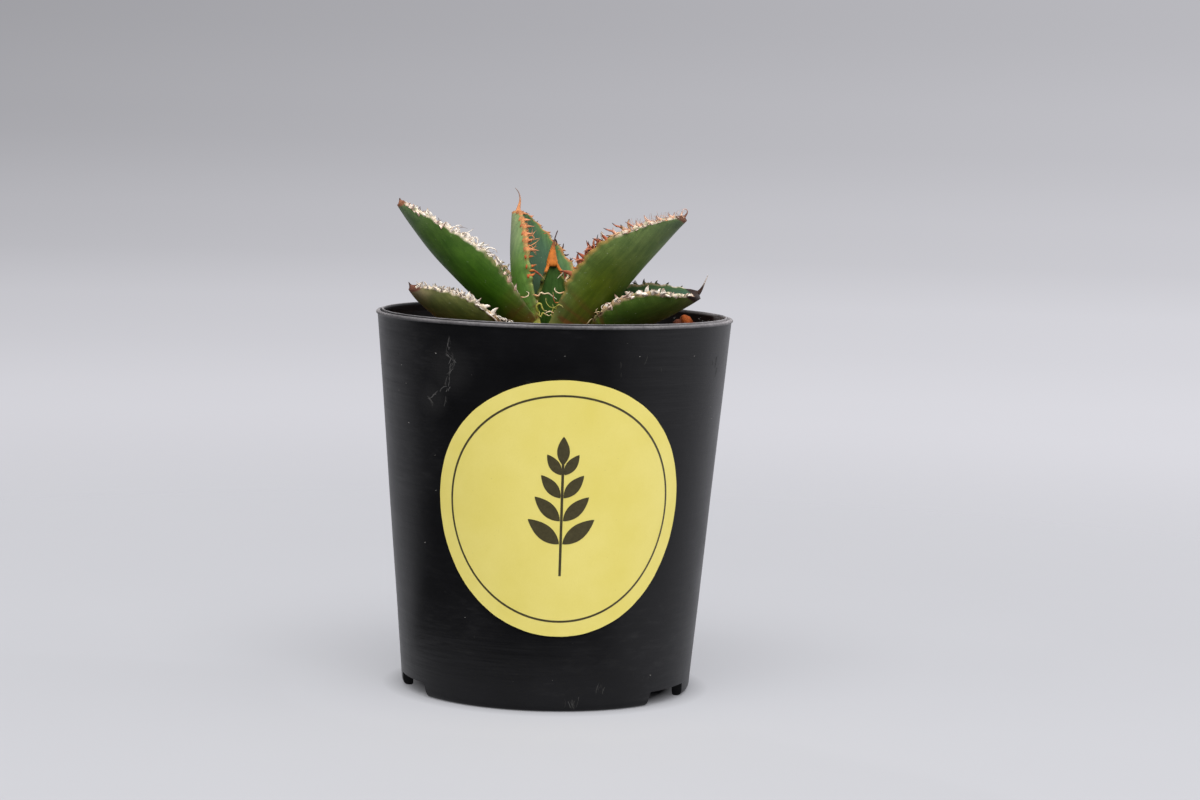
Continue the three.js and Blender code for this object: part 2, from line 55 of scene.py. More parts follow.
# Leaves, youngest first, with the fields of the solids' leaves:
# base: where the channel's bottom leaves the stem; tail: how far the blade runs on into it
# az, turn, el: heading, how far it swings, and slopes at base and tip; roll: twist about its length
# half: half the flat width; low, wide: share of it at the base, and where it is widest
# taper, blunt: outline towards the tip; curl: channel half angles
# teeth: count, from, to, sizes on either side; lean: of the teeth on either side
# spine: length, width, rise, turn
FIELDS = "name base tail az turn el length roll half low wide taper blunt curl thick teeth lean spine seed".split()
LEAVES = [dict(zip(FIELDS, row)) for row in (
    ("leaf_centre", (-0.7, -1, 78.2), 0.02, -92, 12, (95, 93), 17.6, -10, 4, 0.9, 0.24, 1.5, 0.8, (76, 50, 70), 1.7, (4, 0.35, 0.97, 2.2, 2.2),
        (0, 0), (7.2, 1.15, 0.05, 0.07), 11),
    ("leaf_back", (-2.6, 2.8, 80.4), 0.06, 118.5, 19, (65.5, 71.5), 28.3, -25, 11, 0.7, 0.48, 1.5, 0.8, (69, 58, 51), 4.1, (9, 0.32, 0.98, 2.9, 1.5),
        (1.3, 0), (5.6, 1.2, 0.25, -0.15), 23),
    ("leaf_right", (5.3, -1, 79.9), 0.06, -8.7, -10, (60.5, 38), 35.9, 2.5, 11.1, 0.8, 0.5, 1.5, 0.8, (85, 77, 35), 2.6, (13, 0.22, 0.99, 3.3, 3.1),
        (0, 0), (2.8, 0.9, 0.9, 0.3), 31),
    ("leaf_left", (-4.2, 0.4, 81.2), 0.08, 185, 6, (32, 51.5), 41.2, 1.7, 8.7, 0.46, 0.49, 1.35, 0.8, (38, 90, 48), 2.5, (14, 0.2, 0.98, 3.5, 3.2),
        (0, 0), (1, 1.2, 0.4, 0), 47),
    ("leaf_rear_right", (2.4, 4.2, 80.6), 0.12, 58, 6, (20, 30), 27, 0, 8.4, 0.6, 0.45, 2, 0.8, (50, 66, 40), 3, (8, 0.25, 0.98, 2.5, 2.5), (0, 0),
        (3.2, 1, 0.4, 0.1), 59),
    ("leaf_low_right", (7.5, -0.8, 81.9), 0.16, 3, -9, (13.5, 23), 25.8, -5, 8.7, 0.48, 0.43, 1.65, 0.5, (43, 71, 4), 3.6, (10, 0.12, 0.97, 2.2, 2.2),
        (0, 0), (4.7, 1.2, 0.75, 0.1), 67),
    ("leaf_rear_left", (-6, 4, 81.3), 0.14, 152, -4, (33, 40), 27.5, 0, 7.2, 0.6, 0.45, 2, 0.8, (50, 70, 45), 2.8, (8, 0.25, 0.97, 2.5, 2.5), (0, 0),
        (2.4, 1, 0.5, 0), 73),
    ("leaf_low_left", (-10.4, -2.4, 81), 0.26, 186.6, 13.5, (-2, 46.5), 24.2, -1, 7.8, 0.42, 0.42, 2.35, 0.8, (26, 76, 56), 1.8,
        (11, 0.1, 0.97, 2, 2), (0, 0), (1.3, 1.1, 0.2, 0), 89),
    ("leaf_low_front", (2, -7.2, 80.4), 0.22, -72, -8, (-1, 5), 18, 0, 6.2, 0.6, 0.4, 2, 0.8, (26, 40, 30), 1.4, (7, 0.15, 0.97, 1.2, 1.2), (0, 0),
        (1.4, 0.9, 0.2, 0), 97),
)]

# Colours in display values: a tooth's or hook's root, middle and point.
WHITE = ((222, 204, 182), (242, 237, 228), (176, 156, 138))
CREAM = ((214, 186, 140), (232, 212, 170), (200, 170, 128))
PINKISH = ((190, 148, 124), (228, 208, 194), (158, 126, 110))
ROSE = ((224, 196, 178), (222, 190, 172), (168, 134, 120))
ORANGE = ((188, 108, 62), (206, 142, 96), (176, 120, 90))
RED = ((200, 132, 92), (172, 92, 64), (62, 42, 42))
RUST = ((176, 88, 44), (196, 112, 60), (160, 100, 64))
DARK = ((132, 80, 56), (76, 50, 44), (44, 34, 36))
BRICK = ((186, 116, 82), (180, 104, 76), (222, 172, 146))
PALE = ((208, 156, 122), (216, 182, 162), (150, 112, 100))
MOSS = ((70, 88, 44), (62, 66, 42), (58, 46, 42))
BONE = ((226, 200, 158), (218, 178, 136), (86, 64, 60))
LIME = ((142, 146, 56), (186, 184, 92), (214, 200, 134))
HAIR = ((150, 122, 102), (122, 98, 86), (92, 76, 68))
# Down the outer face (base, middle, upper, tip), inner face (base, upper), edge green, horny border, tooth, dead tip
# and its share of the length, spine (root, point), and what only some leaves have.
SHADES = "outer inner edge border tooth dead fork spine".split()
PALETTE = {
    "leaf_centre": (((84, 90, 28), (44, 61, 12), (50, 71, 26), (74, 96, 52)), ((50, 77, 22), (60, 90, 42)), (66, 88, 34), (176, 116, 62), RUST,
        (196, 112, 46), 0.07, ((206, 122, 50), (84, 62, 62)), dict(needle=(1.0, -0.25, 0), flare=1.05, decurrent=0.12, horn=0.9,
        early=(0.9, MOSS, 0.75))),
    "leaf_back": (((100, 132, 40), (94, 136, 52), (138, 156, 114), (138, 148, 112)), ((36, 56, 24), (58, 88, 64)), (112, 146, 84), (190, 122, 78),
        ((184, 116, 74), (198, 136, 94), (184, 132, 104)), (190, 132, 88), 0.03, ((206, 142, 96), (150, 126, 118)),
        dict(needle=(0.55, 1.3, -0.32), horn=0.55, early=(0.52, RUST, 0.6))),
    "leaf_right": (((62, 50, 14), (75, 91, 17), (88, 107, 60), (72, 87, 60)), ((80, 104, 54), (86, 110, 78)), (96, 116, 66), (158, 126, 70), RED,
        (104, 66, 48), 0.025, ((128, 84, 66), (206, 170, 158)), dict(needle=(0.42, 4.3, 0), pale=0.64, sap=0.1, late=(0.6, PALE, 0.85))),
    "leaf_left": (((96, 78, 30), (54, 93, 12), (58, 86, 29), (78, 96, 66)), ((80, 108, 56), (86, 114, 82)), (70, 92, 42), (128, 124, 84), WHITE,
        (132, 84, 60), 0.018, ((132, 86, 62), (96, 70, 58)), dict(needle=(0.75, 0, 0), pale=0.5, size=0.72, early=(0.36, PINKISH, 0.45))),
    "leaf_rear_right": (((90, 92, 40), (60, 90, 36), (72, 100, 54), (84, 102, 72)), ((82, 106, 56), (88, 112, 82)), (104, 130, 70), (184, 146, 110),
        WHITE, (126, 86, 64), 0.05, ((132, 88, 64), (88, 68, 62)), dict()),
    "leaf_low_right": (((62, 82, 22), (48, 70, 16), (60, 80, 28), (92, 98, 60)), ((52, 84, 58), (64, 96, 76)), (84, 112, 48), (190, 160, 130), WHITE,
        (54, 40, 36), 0.1, ((60, 42, 36), (206, 192, 184)), dict(needle=(0.55, -0.4, 0.25), pale=0.72, far=(-1, MOSS, 0.6))),
    "leaf_rear_left": (((88, 90, 40), (58, 88, 34), (70, 98, 52), (84, 104, 74)), ((80, 106, 56), (86, 112, 82)), (98, 126, 66), (184, 146, 110),
        WHITE, (126, 86, 64), 0.05, ((128, 86, 62), (88, 68, 62)), dict()),
    "leaf_low_left": (((66, 76, 22), (66, 78, 28), (80, 88, 46), (120, 108, 84)), ((84, 98, 54), (94, 108, 72)), (112, 114, 70), (180, 148, 118),
        WHITE, (104, 66, 52), 0.05, ((104, 66, 52), (70, 52, 46)), dict(pale=0.25)),
    "leaf_low_front": (((88, 92, 34), (76, 88, 34), (84, 92, 44), (104, 98, 64)), ((84, 100, 54), (92, 108, 72)), (108, 116, 62), (180, 146, 110),
        WHITE, (112, 76, 60), 0.06, ((104, 68, 54), (72, 54, 48)), dict()),
}
# Spines, hooks and fibres on the borders: count, from, to, side, least and most length, half width, how far they
# turn, colours, (away from the blade, towards the tip, towards the outer face), how uneven.
FIBRES = {
    "leaf_left": [
        (24, 0.76, 0.97, -1, 0.7, 1.3, 0.31, 2.0, PINKISH, (0.7, -0.8, 0.5), 0.3),
        (12, 0.78, 0.97, -1, 0.9, 1.6, 0.12, 1.4, HAIR, (1, -0.2, 0), 0.4),
        (20, 0.47, 0.77, -1, 1.2, 2.4, 0.2, 6.0, WHITE, (1, -0.2, -0.1), 0.5),
        (18, 0.5, 0.78, -1, 0.9, 1.5, 0.3, 2.4, WHITE, (0.7, -0.6, 0.2), 0.4),
        (10, 0.3, 0.7, -1, 1.8, 3.0, 0.06, 2.6, HAIR, (1, -0.2, 0), 0.5),
        (7, 0.33, 0.47, -1, 1.2, 2.2, 0.13, 4.5, PINKISH, (0.9, -0.5, 0.1), 0.5),
        (4, 0.2, 0.3, -1, 1.0, 1.8, 0.1, 3.0, PINKISH, (0.9, -0.3, 0), 0.5),
        (30, 0.3, 0.97, 1, 0.8, 2.0, 0.16, 4.0, WHITE, (1, 0, 0), 0.6),
    ],
    "leaf_back": [
        (16, 0.74, 0.98, -1, 0.7, 1.2, 0.2, 1.0, ORANGE, (0.8, -0.2, -0.7), 0.35),
        (10, 0.55, 0.74, -1, 2.6, 3.5, 0.15, 1.8, ORANGE, (0.55, -0.3, -1), 0.25),
        (5, 0.03, 0.2, -1, 1.4, 2.6, 0.17, 5.0, LIME, (1, 0, -0.7), 0.8),
        (2, 0.05, 0.3, -1, 1.0, 1.6, 0.12, 5.0, CREAM, (1, 0, -0.5), 0.7),
        (26, 0.4, 0.98, 1, 0.4, 0.9, 0.16, 1.0, DARK, (1, 0, 0), 0.4),
        (8, 0.4, 0.72, 1, 1.1, 2.0, 0.24, 1.6, DARK, (1, 0.3, 0), 0.4),
    ],
    "leaf_centre": [
        (2, 0.7, 0.86, 1, 1.0, 1.5, 0.2, 1.5, RUST, (1, 0.2, 0), 0.4),
        (1, 0.45, 0.5, -1, 1.0, 1.4, 0.12, 2.0, CREAM, (1, 0, 0.4), 0.8),
        (3, 0.08, 0.3, 1, 1.4, 2.4, 0.14, 5.0, LIME, (1, 0, 0.4), 0.8),
        (3, 0.1, 0.35, -1, 1.4, 2.4, 0.14, 5.0, LIME, (1, 0, 0.4), 0.8),
    ],
    "leaf_right": [
        (12, 0.27, 0.41, 1, 1.1, 2.2, 0.2, 2.0, RED, (1, 0.1, 0.1), 0.6),
        (8, 0.38, 0.53, 1, 2.2, 3.1, 0.31, 1.6, BRICK, (1, 0.25, 0.25), 0.3),
        (6, 0.48, 0.57, 1, 2.3, 3.1, 0.22, 1.6, DARK, (1, 0.15, 0.1), 0.3),
        (1, 0.578, 0.582, 1, 2.5, 2.6, 0.5, 0.8, WHITE, (1, 0.1, 0.3), 0.1),
        (5, 0.64, 0.77, 1, 2.0, 2.8, 0.28, 1.8, BONE, (1, -0.3, 0), 0.3),
        (90, 0.7, 1.0, 1, 1.0, 2.8, 0.06, 1.8, ROSE, (1, -0.1, 0), 0.6),
        (30, 0.7, 1.0, 1, 0.7, 1.3, 0.26, 1.2, PINKISH, (0.6, -0.7, 0.5), 0.4),
        (16, 0.72, 0.99, 1, 0.6, 1.1, 0.2, 1.0, ORANGE, (0.7, -0.5, 0.4), 0.4),
        (40, 0.6, 0.98, -1, 0.8, 1.6, 0.08, 1.6, ROSE, (1, 0, 0), 0.6),
        (3, 0.0, 0.1, 1, 1.8, 3.4, 0.16, 4.0, LIME, (1, 0, 0), 0.7),
    ],
    "leaf_low_right": [
        (6, 0.38, 0.78, 1, 1.5, 2.1, 0.56, 2.2, WHITE, (0.9, -0.2, 0.3), 0.3),
        (10, 0.38, 0.78, 1, 1.0, 1.7, 0.32, 3.0, WHITE, (0.8, -0.4, 0.3), 0.4),
        (18, 0.16, 0.4, 1, 1.2, 2.2, 0.31, 3.4, PINKISH, (0.9, -0.3, 0.2), 0.6),
        (8, 0.03, 0.18, 1, 1.6, 2.8, 0.18, 5.0, CREAM, (1, 0, 0.2), 0.6),
        (6, 0.02, 0.12, 1, 1.8, 2.8, 0.12, 3.0, DARK, (1, 0, 0.2), 0.6),
        (32, 0.74, 0.98, 1, 0.6, 1.2, 0.21, 2.0, PINKISH, (0.9, -0.4, 0.2), 0.4),
        (7, 0.35, 0.72, -1, 0.9, 1.4, 0.2, 0.8, DARK, (1, -0.3, 0), 0.3),
        (14, 0.2, 0.95, -1, 0.4, 0.8, 0.12, 1.4, WHITE, (1, 0, 0), 0.6),
    ],
    "leaf_low_left": [
        (44, 0.47, 0.99, -1, 0.8, 1.7, 0.31, 2.4, WHITE, (0.9, -0.4, 0.2), 0.4),
        (8, 0.22, 0.47, -1, 1.9, 2.8, 0.27, 1.2, WHITE, (0.4, -1, 0.3), 0.2),
        (12, 0.02, 0.26, -1, 2.0, 3.6, 0.19, 7.0, WHITE, (1, -0.2, 0.2), 0.6),
        (30, 0.3, 0.97, 1, 0.8, 1.7, 0.17, 2.4, WHITE, (1, 0, 0), 0.6),
    ],
    "leaf_rear_right": [(34, 0.2, 0.97, k, 0.8, 2.4, 0.2, 3.6, WHITE, (1, 0, 0), 0.6) for k in (-1, 1)],
    "leaf_rear_left": [(34, 0.2, 0.97, k, 0.8, 2.4, 0.2, 3.6, WHITE, (1, 0, 0), 0.6) for k in (-1, 1)],
    "leaf_low_front": [(16, 0.2, 0.97, k, 0.5, 1.1, 0.14, 2.4, WHITE, (1, 0, 0), 0.6) for k in (-1, 1)],
}
# Long curls, each by its share along the border, side, half width, colours, and the places it bends through: to the
# right and up from its root.
STRAW = ((196, 150, 104), (232, 212, 178), (240, 228, 206))
EMBER = ((206, 128, 58), (150, 72, 44), (188, 160, 116))
CLAW = ((206, 158, 128), (190, 122, 96), (62, 50, 56))
CURLS = {
    "leaf_right": [
        (0.27, 1, 0.24, STRAW, ((0, 0), (-0.7, -0.3), (-1.3, 0), (-0.7, 0.8), (-0.9, 1.5), (-1.5, 1.8), (-2.3, 1.1), (-3.1, 0.3))),
        (0.19, 1, 0.17, STRAW, ((0, 0), (-1, -0.3), (-1.8, 0), (-2.2, 0.6), (-2, 0.9))),
        (0.12, 1, 0.13, EMBER, ((0, 0), (-0.8, 0), (-1.2, 0.8), (-1.3, 1.7), (-1.4, 2.3))),
        (0.05, 1, 0.17, STRAW, ((0, 0), (-0.8, 0.4), (-1.6, 0.2), (-2, -0.3))),
        (0.08, 1, 0.1, LIME, ((0, 0), (-1.4, 0.4), (-2.2, 1.4), (-2.3, 2.4))),
        (0.65, 1, 0.3, CLAW, ((0, 0), (-0.9, 0.9), (-1.9, 1.2), (-3, 1.6))),
        (0.7, 1, 0.3, CLAW, ((0, 0), (-0.9, 1), (-2, 1.3), (-2.9, 1.9))),
        (0.76, 1, 0.22, CLAW, ((0, 0), (-1.1, 0.7), (-2.3, 1.3))),
    ],
    "leaf_back": [
        (0.39, -1, 0.3, EMBER, ((0, 0), (1, 0), (1.8, -0.5), (2.5, -1), (3.5, -2))),
        (0.19, -1, 0.23, STRAW, ((0, 0), (1, -0.2), (1.5, 0.5), (2.3, 0.3), (3.3, 0.4), (4.3, -0.3), (5.2, -0.9))),
        (0.06, -1, 0.27, LIME, ((0, 0), (-0.2, 1), (0.2, 1.7), (0.8, 1.6), (1.1, 0.8), (1.6, 0.2), (2.2, 0.2))),
        (0.03, -1, 0.2, LIME, ((0, 0), (0.6, -0.2), (1, 0.5), (1.6, 0.2), (2.4, -0.2))),
        (0.04, -1, 0.13, STRAW, ((0.8, 0.2), (1.7, 0.1), (2.5, -0.3), (3.4, 0.3), (3.9, 1.1))),
    ],
    "leaf_left": [
        (0.73, -1, 0.17, WHITE, ((0, 0), (1.1, 0.5), (2.2, 0.9), (3, 0.6))),
        (0.69, -1, 0.07, HAIR, ((0, 0), (0.5, 0.9), (1.6, 1.3), (2.8, 1))),
        (0.66, -1, 0.16, WHITE, ((0, 0), (0.8, 0.7), (1.8, 0.6), (2.3, -0.1), (1.9, -0.8), (1.1, -0.8), (0.5, -0.3))),
        (0.65, -1, 0.12, WHITE, ((0, 0), (1, 0.9), (2, 1.4), (2.6, 2))),
        (0.6, -1, 0.17, WHITE, ((0, 0), (0.6, 0.9), (1.6, 1), (2, 0.3), (1.6, -0.5))),
        (0.56, -1, 0.18, WHITE, ((0, 0), (0.5, 0.8), (0.3, 1.6), (-0.6, 1.9))),
        (0.53, -1, 0.16, WHITE, ((0, 0), (0.6, 0.8), (1.5, 1), (2.3, 0.7))),
        (0.52, -1, 0.1, WHITE, ((0, 0), (1, 1.1), (1.9, 1.5))),
        (0.48, -1, 0.2, WHITE, ((0, 0), (-0.2, 0.9), (0.4, 1.6), (1.4, 1.5), (2.1, 1.1), (2.4, 0.5))),
        (0.45, -1, 0.06, HAIR, ((0, 0), (1, 0.6), (2, -0.5), (2.9, -2), (3.1, -2.7))),
        (0.47, -1, 0.05, HAIR, ((0, 0), (1.4, 0.2), (2.6, -1.5), (3.4, -3.4), (3.5, -4.2))),
        (0.38, -1, 0.15, STRAW, ((0, 0), (-0.4, 0.9), (-0.7, 1.7), (-0.2, 2.4))),
        (0.29, -1, 0.12, STRAW, ((0, 0), (-0.2, 0.7), (-0.8, 1.2), (-0.9, 1.9), (-0.3, 1.6))),
        (0.27, -1, 0.12, HAIR, ((0, 0), (0.3, 0.8), (-0.3, 1.5), (-1, 2))),
        (0.18, -1, 0.15, STRAW, ((0, 0), (0.9, -0.1), (1.8, 0.3), (1.9, 1), (1.4, 1.2))),
    ],
    "leaf_low_left": [
        (0.06, -1, 0.16, WHITE, ((0, 0), (0.8, -0.5), (1.2, 0.3), (1.8, 0.5), (2.4, -0.3), (2.2, -1.2))),
        (0.1, -1, 0.14, WHITE, ((0, 0), (0.6, 0.6), (1.4, 0.4), (1.3, -0.6), (0.9, -1.2))),
        (0.16, -1, 0.16, WHITE, ((0, 0), (0.9, 0.3), (1.7, -0.2), (2.4, -0.9))),
    ],
    "leaf_low_right": [
        (0.1, 1, 0.13, STRAW, ((0, 0), (-0.6, 0.7), (-0.2, 1.5), (0.3, 2))),
        (0.04, 1, 0.12, STRAW, ((0, 0), (-0.7, 0.8), (-0.5, 1.7), (0.2, 2.3))),
        (0.15, 1, 0.14, WHITE, ((0, 0), (-0.5, 0.9), (0.2, 1.6))),
    ],
}


# ---- helpers ----
def draw(seed):
    """Repeatable draw of numbers from 0 to 1, the same as the solids' draw."""
    a = [seed & 0xFFFFFFFF]

    def imul(x, y):
        return (x * y) & 0xFFFFFFFF

    def rnd():
        a[0] = (a[0] + 0x6D2B79F5) & 0xFFFFFFFF
        t = imul(a[0] ^ (a[0] >> 15), a[0] | 1)
        t = ((t + imul(t ^ (t >> 7), t | 61)) & 0xFFFFFFFF) ^ t
        return ((t ^ (t >> 14)) & 0xFFFFFFFF) / 4294967296

    return rnd


def linear(rgb):
    """Display values 0 to 255 as linear light."""
    c = np.asarray(rgb, float) / 255
    return np.where(c <= 0.04045, c / 12.92, ((c + 0.055) / 1.055) ** 2.4)


def unit(v):
    v = np.asarray(v, float)
    return v / np.maximum(np.linalg.norm(v, axis=-1, keepdims=True), 1e-12)


def mix(a, b, f):
    f = np.asarray(f, float)[..., None]
    return np.asarray(a, float) * (1 - f) + np.asarray(b, float) * f


def steps(x, low, high):
    t = np.clip((np.asarray(x, float) - low) / (high - low), 0, 1)
    return t * t * (3 - 2 * t)


def circle(n):
    return np.arange(n) * 2 * math.pi / n


def polar(r, a, z):
    """Places at radius r, angle a and height z."""
    r, a, z = np.broadcast_arrays(*(np.asarray(k, float) for k in (r, a, z)))
    return np.stack([r * np.cos(a), r * np.sin(a), z], -1)


def spin(v, axis, angle):
    """Vectors turned about an axis, each by its own angle."""
    angle = np.asarray(angle, float)[..., None]
    return v * np.cos(angle) + np.cross(axis, v) * np.sin(angle) + axis * (v @ axis)[..., None] * (1 - np.cos(angle))


def path(start, steps_along, step):
    """The line that starts at a place and takes one step along each direction but the last."""
    return start + np.vstack([np.zeros(3), np.cumsum(steps_along[:-1] * step, axis=0)])


def grid(rows, cols, closed=True, start=0):
    """Quads over rows of cols points each; closed joins the last column to the first."""
    out = []
    for i in range(rows - 1):
        for j in range(cols if closed else cols - 1):
            a, b = start + i * cols + j, start + i * cols + (j + 1) % cols
            out.append((a, b, b + cols, a + cols))
    return out


def tube(rows, cols):
    """Faces of a closed tube and its two ends."""
    return grid(rows, cols) + [tuple(range(cols - 1, -1, -1)), tuple(range((rows - 1) * cols, rows * cols))]


class Skin:
    """Gathers patches of vertices, faces, tints and flat coordinates into one mesh."""

    def __init__(self):
        self.v, self.f, self.c, self.uv, self.m, self.n = [], [], [], [], [], 0

    def add(self, v, faces, tint, part=0, uv=None):
        v = np.asarray(v, float).reshape(-1, 3)
        self.v.append(v)
        self.c.append(np.broadcast_to(np.asarray(tint, float).reshape(-1, 3), v.shape))
        self.uv.append(np.zeros((len(v), 2)) if uv is None else np.asarray(uv, float).reshape(-1, 2))
        self.f += [tuple(int(k) + self.n for k in f) for f in faces]
        self.m += [part] * len(faces)
        self.n += len(v)

    def strand(self, points, widths, across, sides, flat, tones):
        """Horny tube through points with a half width and a tone at each; its last point is its tip."""
        p = np.asarray(points, float)
        d = unit(np.gradient(p, axis=0))
        a = unit(across - d * (d @ across)[:, None])
        f, r = circle(sides)[None, :, None], np.asarray(widths, float)[:, None, None]
        v = p[:, None] + r * (a[:, None] * np.cos(f) + flat * np.cross(d, a)[:, None] * np.sin(f))
        self.add(v, tube(len(p), sides), np.repeat(tones, sides, axis=0), 1)

    def object(self, name, materials, slot=None, sharp=None):
        me = bpy.data.meshes.new(name)
        me.from_pydata((np.concatenate(self.v) * MM).tolist(), [], self.f)
        me.polygons.foreach_set("material_index", self.m)
        tint = me.attributes.new("tint", "FLOAT_COLOR", "POINT")
        tint.data.foreach_set("color", np.column_stack([np.concatenate(self.c), np.ones(self.n)]).astype(np.float32).ravel())
        loops = np.zeros(len(me.loops), int)
        me.loops.foreach_get("vertex_index", loops)
        me.uv_layers.new(name="flat").data.foreach_set("uv", np.concatenate(self.uv)[loops].astype(np.float32).ravel())
        for m in materials:
            me.materials.append(m)
        me.shade_smooth()
        if sharp:
            me.set_sharp_from_angle(angle=math.radians(sharp))
        o = bpy.data.objects.new(name, me)
        bpy.context.scene.collection.objects.link(o)
        if slot:
            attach(o, "root")
        return o


# ---- materials ----
class Nodes:
    """A node tree with short calls for its nodes."""

    def __init__(self, tree):
        self.t = tree

    def fill(self, n, values):
        """Links sockets to a node's inputs, and sets the other values on them."""
        for k, v in values.items():
            if isinstance(v, bpy.types.NodeSocket):
                self.t.links.new(v, n.inputs[k])
            else:
                n.inputs[k].default_value = v
        return n

    def node(self, kind, values={}, **props):
        n = self.t.nodes.new(kind)
        for k, v in props.items():
            setattr(n, k, v)
        return self.fill(n, values)

    def maths(self, op, *values):
        return self.node("ShaderNodeMath", dict(enumerate(values)), operation=op).outputs[0]


class Paint(Nodes):
    """A principled material."""

    def __init__(self, name, **sockets):
        self.m = bpy.data.materials.new(name)
        self.m.use_nodes = True
        super().__init__(self.m.node_tree)
        self.b = self.t.nodes["Principled BSDF"]
        self.set(**sockets)

    def set(self, **sockets):
        self.fill(self.b, {k.replace("_", " "): v for k, v in sockets.items()})

    def place(self, stretch=(1, 1, 1), flat=False):
        """Object place in millimetres, or the flat coordinates, stretched."""
        if flat:
            source, k = self.node("ShaderNodeUVMap", uv_map="flat").outputs[0], 1
        else:
            source, k = self.node("ShaderNodeTexCoord").outputs["Object"], 1 / MM
        return self.node("ShaderNodeMapping", {"Vector": source, "Scale": [k * s for s in stretch]}).outputs[0]

    def noise(self, where, scale, detail, rough, twist=0):
        values = {"Vector": where, "Scale": scale, "Detail": detail, "Roughness": rough, "Distortion": twist}
        return self.node("ShaderNodeTexNoise", values).outputs["Fac"]

    def spread(self, fac, low, high, to=(0, 1), kind="LINEAR"):
        values = {"Value": fac, "From Min": low, "From Max": high, "To Min": to[0], "To Max": to[1]}
        return self.node("ShaderNodeMapRange", values, interpolation_type=kind).outputs[0]

    def blend(self, fac, a, b, kind="MIX"):
        a, b = (v if isinstance(v, bpy.types.NodeSocket) else (*v, 1) for v in (a, b))
        return self.node("ShaderNodeMix", {0: fac, 6: a, 7: b}, data_type="RGBA", blend_type=kind).outputs[2]

    def mul(self, a, b):
        return self.maths("MULTIPLY", a, b)

    def add(self, a, b):
        return self.maths("ADD", a, b)

    def grade(self, c, fac, low, high, dark, light):
        """A colour times a share that goes from dark to light as the factor goes from low to high."""
        return self.blend(1, c, self.blend(self.spread(fac, low, high), dark, light), "MULTIPLY")

    def tint(self):
        return self.node("ShaderNodeAttribute", attribute_name="tint").outputs["Color"]

    def bump(self, height, strength, distance):
        values = {"Height": height, "Strength": strength, "Distance": distance * MM}
        self.set(Normal=self.node("ShaderNodeBump", values).outputs[0])


def plain_paint(name, shine, scale, dark, light, rough, detail=3, tinted=False, stretch=(1, 1, 1), bump=None):
    """One noise between two colours and two roughnesses; bump: the scale of its noise, its strength and its height."""
    p = Paint(name, Specular_IOR_Level=shine)
    place = p.place(stretch)
    n = p.noise(place, scale, detail, 0.6)
    c = p.grade(p.tint(), n, 0.3, 0.7, dark, light) if tinted else p.blend(p.spread(n, 0.3, 0.7), dark, light)
    p.set(Base_Color=c, Roughness=p.spread(n, 0.3, 0.7, rough))
    if bump:
        p.bump(p.noise(place, bump[0], detail, 0.6), *bump[1:])
    return p.m


def leaf_paint():
    p = Paint("leaf", Specular_IOR_Level=0.26)
    place = p.place()
    streak = p.noise(p.place((1.6, 0.16, 1), True), 1.0, 5, 0.6, 0.4)
    mottle = p.noise(place, 0.32, 4, 0.6)
    grain = p.noise(place, 5.5, 3, 0.6)
    specks = p.spread(p.noise(place, 1.9, 2, 0.5), 0.70, 0.76)
    c = p.grade(p.tint(), streak, 0.3, 0.7, (0.80, 0.82, 0.80), (1.22, 1.2, 1.14))
    c = p.grade(c, mottle, 0.32, 0.68, (0.78, 0.84, 0.8), (1.2, 1.14, 1.12))
    c = p.grade(c, grain, 0.25, 0.75, (0.88, 0.88, 0.88), (1.12, 1.12, 1.12))
    p.set(Base_Color=p.blend(p.mul(specks, 0.28), c, (0.42, 0.45, 0.33)), Roughness=p.spread(mottle, 0.3, 0.7, (0.4, 0.56)))
    p.bump(p.add(p.mul(grain, 0.35), p.add(streak, p.mul(mottle, 1.5))), 0.45, 0.12)
    return p.m


def pot_paint(name, shine):
    p = Paint(name, Specular_IOR_Level=shine)
    place = p.place()
    cloud, fine = p.noise(place, 0.05, 5, 0.6), p.noise(place, 3.6, 4, 0.6)

    # wiped patches: where a stretched noise is strong, and at two places on the front left
    wipe = p.spread(p.noise(p.place((0.35, 0.35, 1.4)), 0.5, 4, 0.65, 0.6), 0.5, 0.72)
    wipe = p.mul(wipe, p.spread(p.noise(place, 0.05, 2, 0.5), 0.44, 0.6))
    for at, radius in (((-22.3, -31.8, 74), 7.0), ((-25.5, -28.0, 67), 5.0)):
        far = p.node("ShaderNodeVectorMath", {0: place, 1: at}, operation="DISTANCE").outputs["Value"]
        wipe = p.maths("MAXIMUM", wipe, p.spread(far, radius, radius * 0.4))
    c = p.blend(p.spread(cloud, 0.3, 0.7), (0.0034, 0.0034, 0.004), (0.0072, 0.0072, 0.0082))
    c = p.blend(p.mul(wipe, 0.02), c, (0.35, 0.34, 0.33))
    # the rim's wear and dust, partly painted highlight: the mesh says where, two noises break it up
    rim = p.mul(p.spread(p.node("ShaderNodeSeparateXYZ", {0: place}).outputs["Z"], 78.0, 79.5), p.tint())
    for scale, detail, coarse, low, least in ((1.3, 4, 0.7, 0.25, 0.5), (0.14, 2, 0.5, 0.36, 0.6)):
        rim = p.mul(rim, p.spread(p.noise(place, scale, detail, coarse), low, 0.6, (least, 1)))
    rough = p.add(p.spread(cloud, 0.3, 0.7, (0.32, 0.41)), p.mul(rim, 0.3))
    p.set(Base_Color=p.blend(p.mul(rim, 0.66), c, (0.29, 0.275, 0.28)), Roughness=rough)
    rings = p.noise(p.place((0.02, 0.02, 0.32)), 1, 3, 0.6)
    p.bump(p.add(p.mul(fine, 0.25), p.add(p.mul(cloud, 3), p.mul(rings, 6))), 0.35, 0.10)
    return p.m


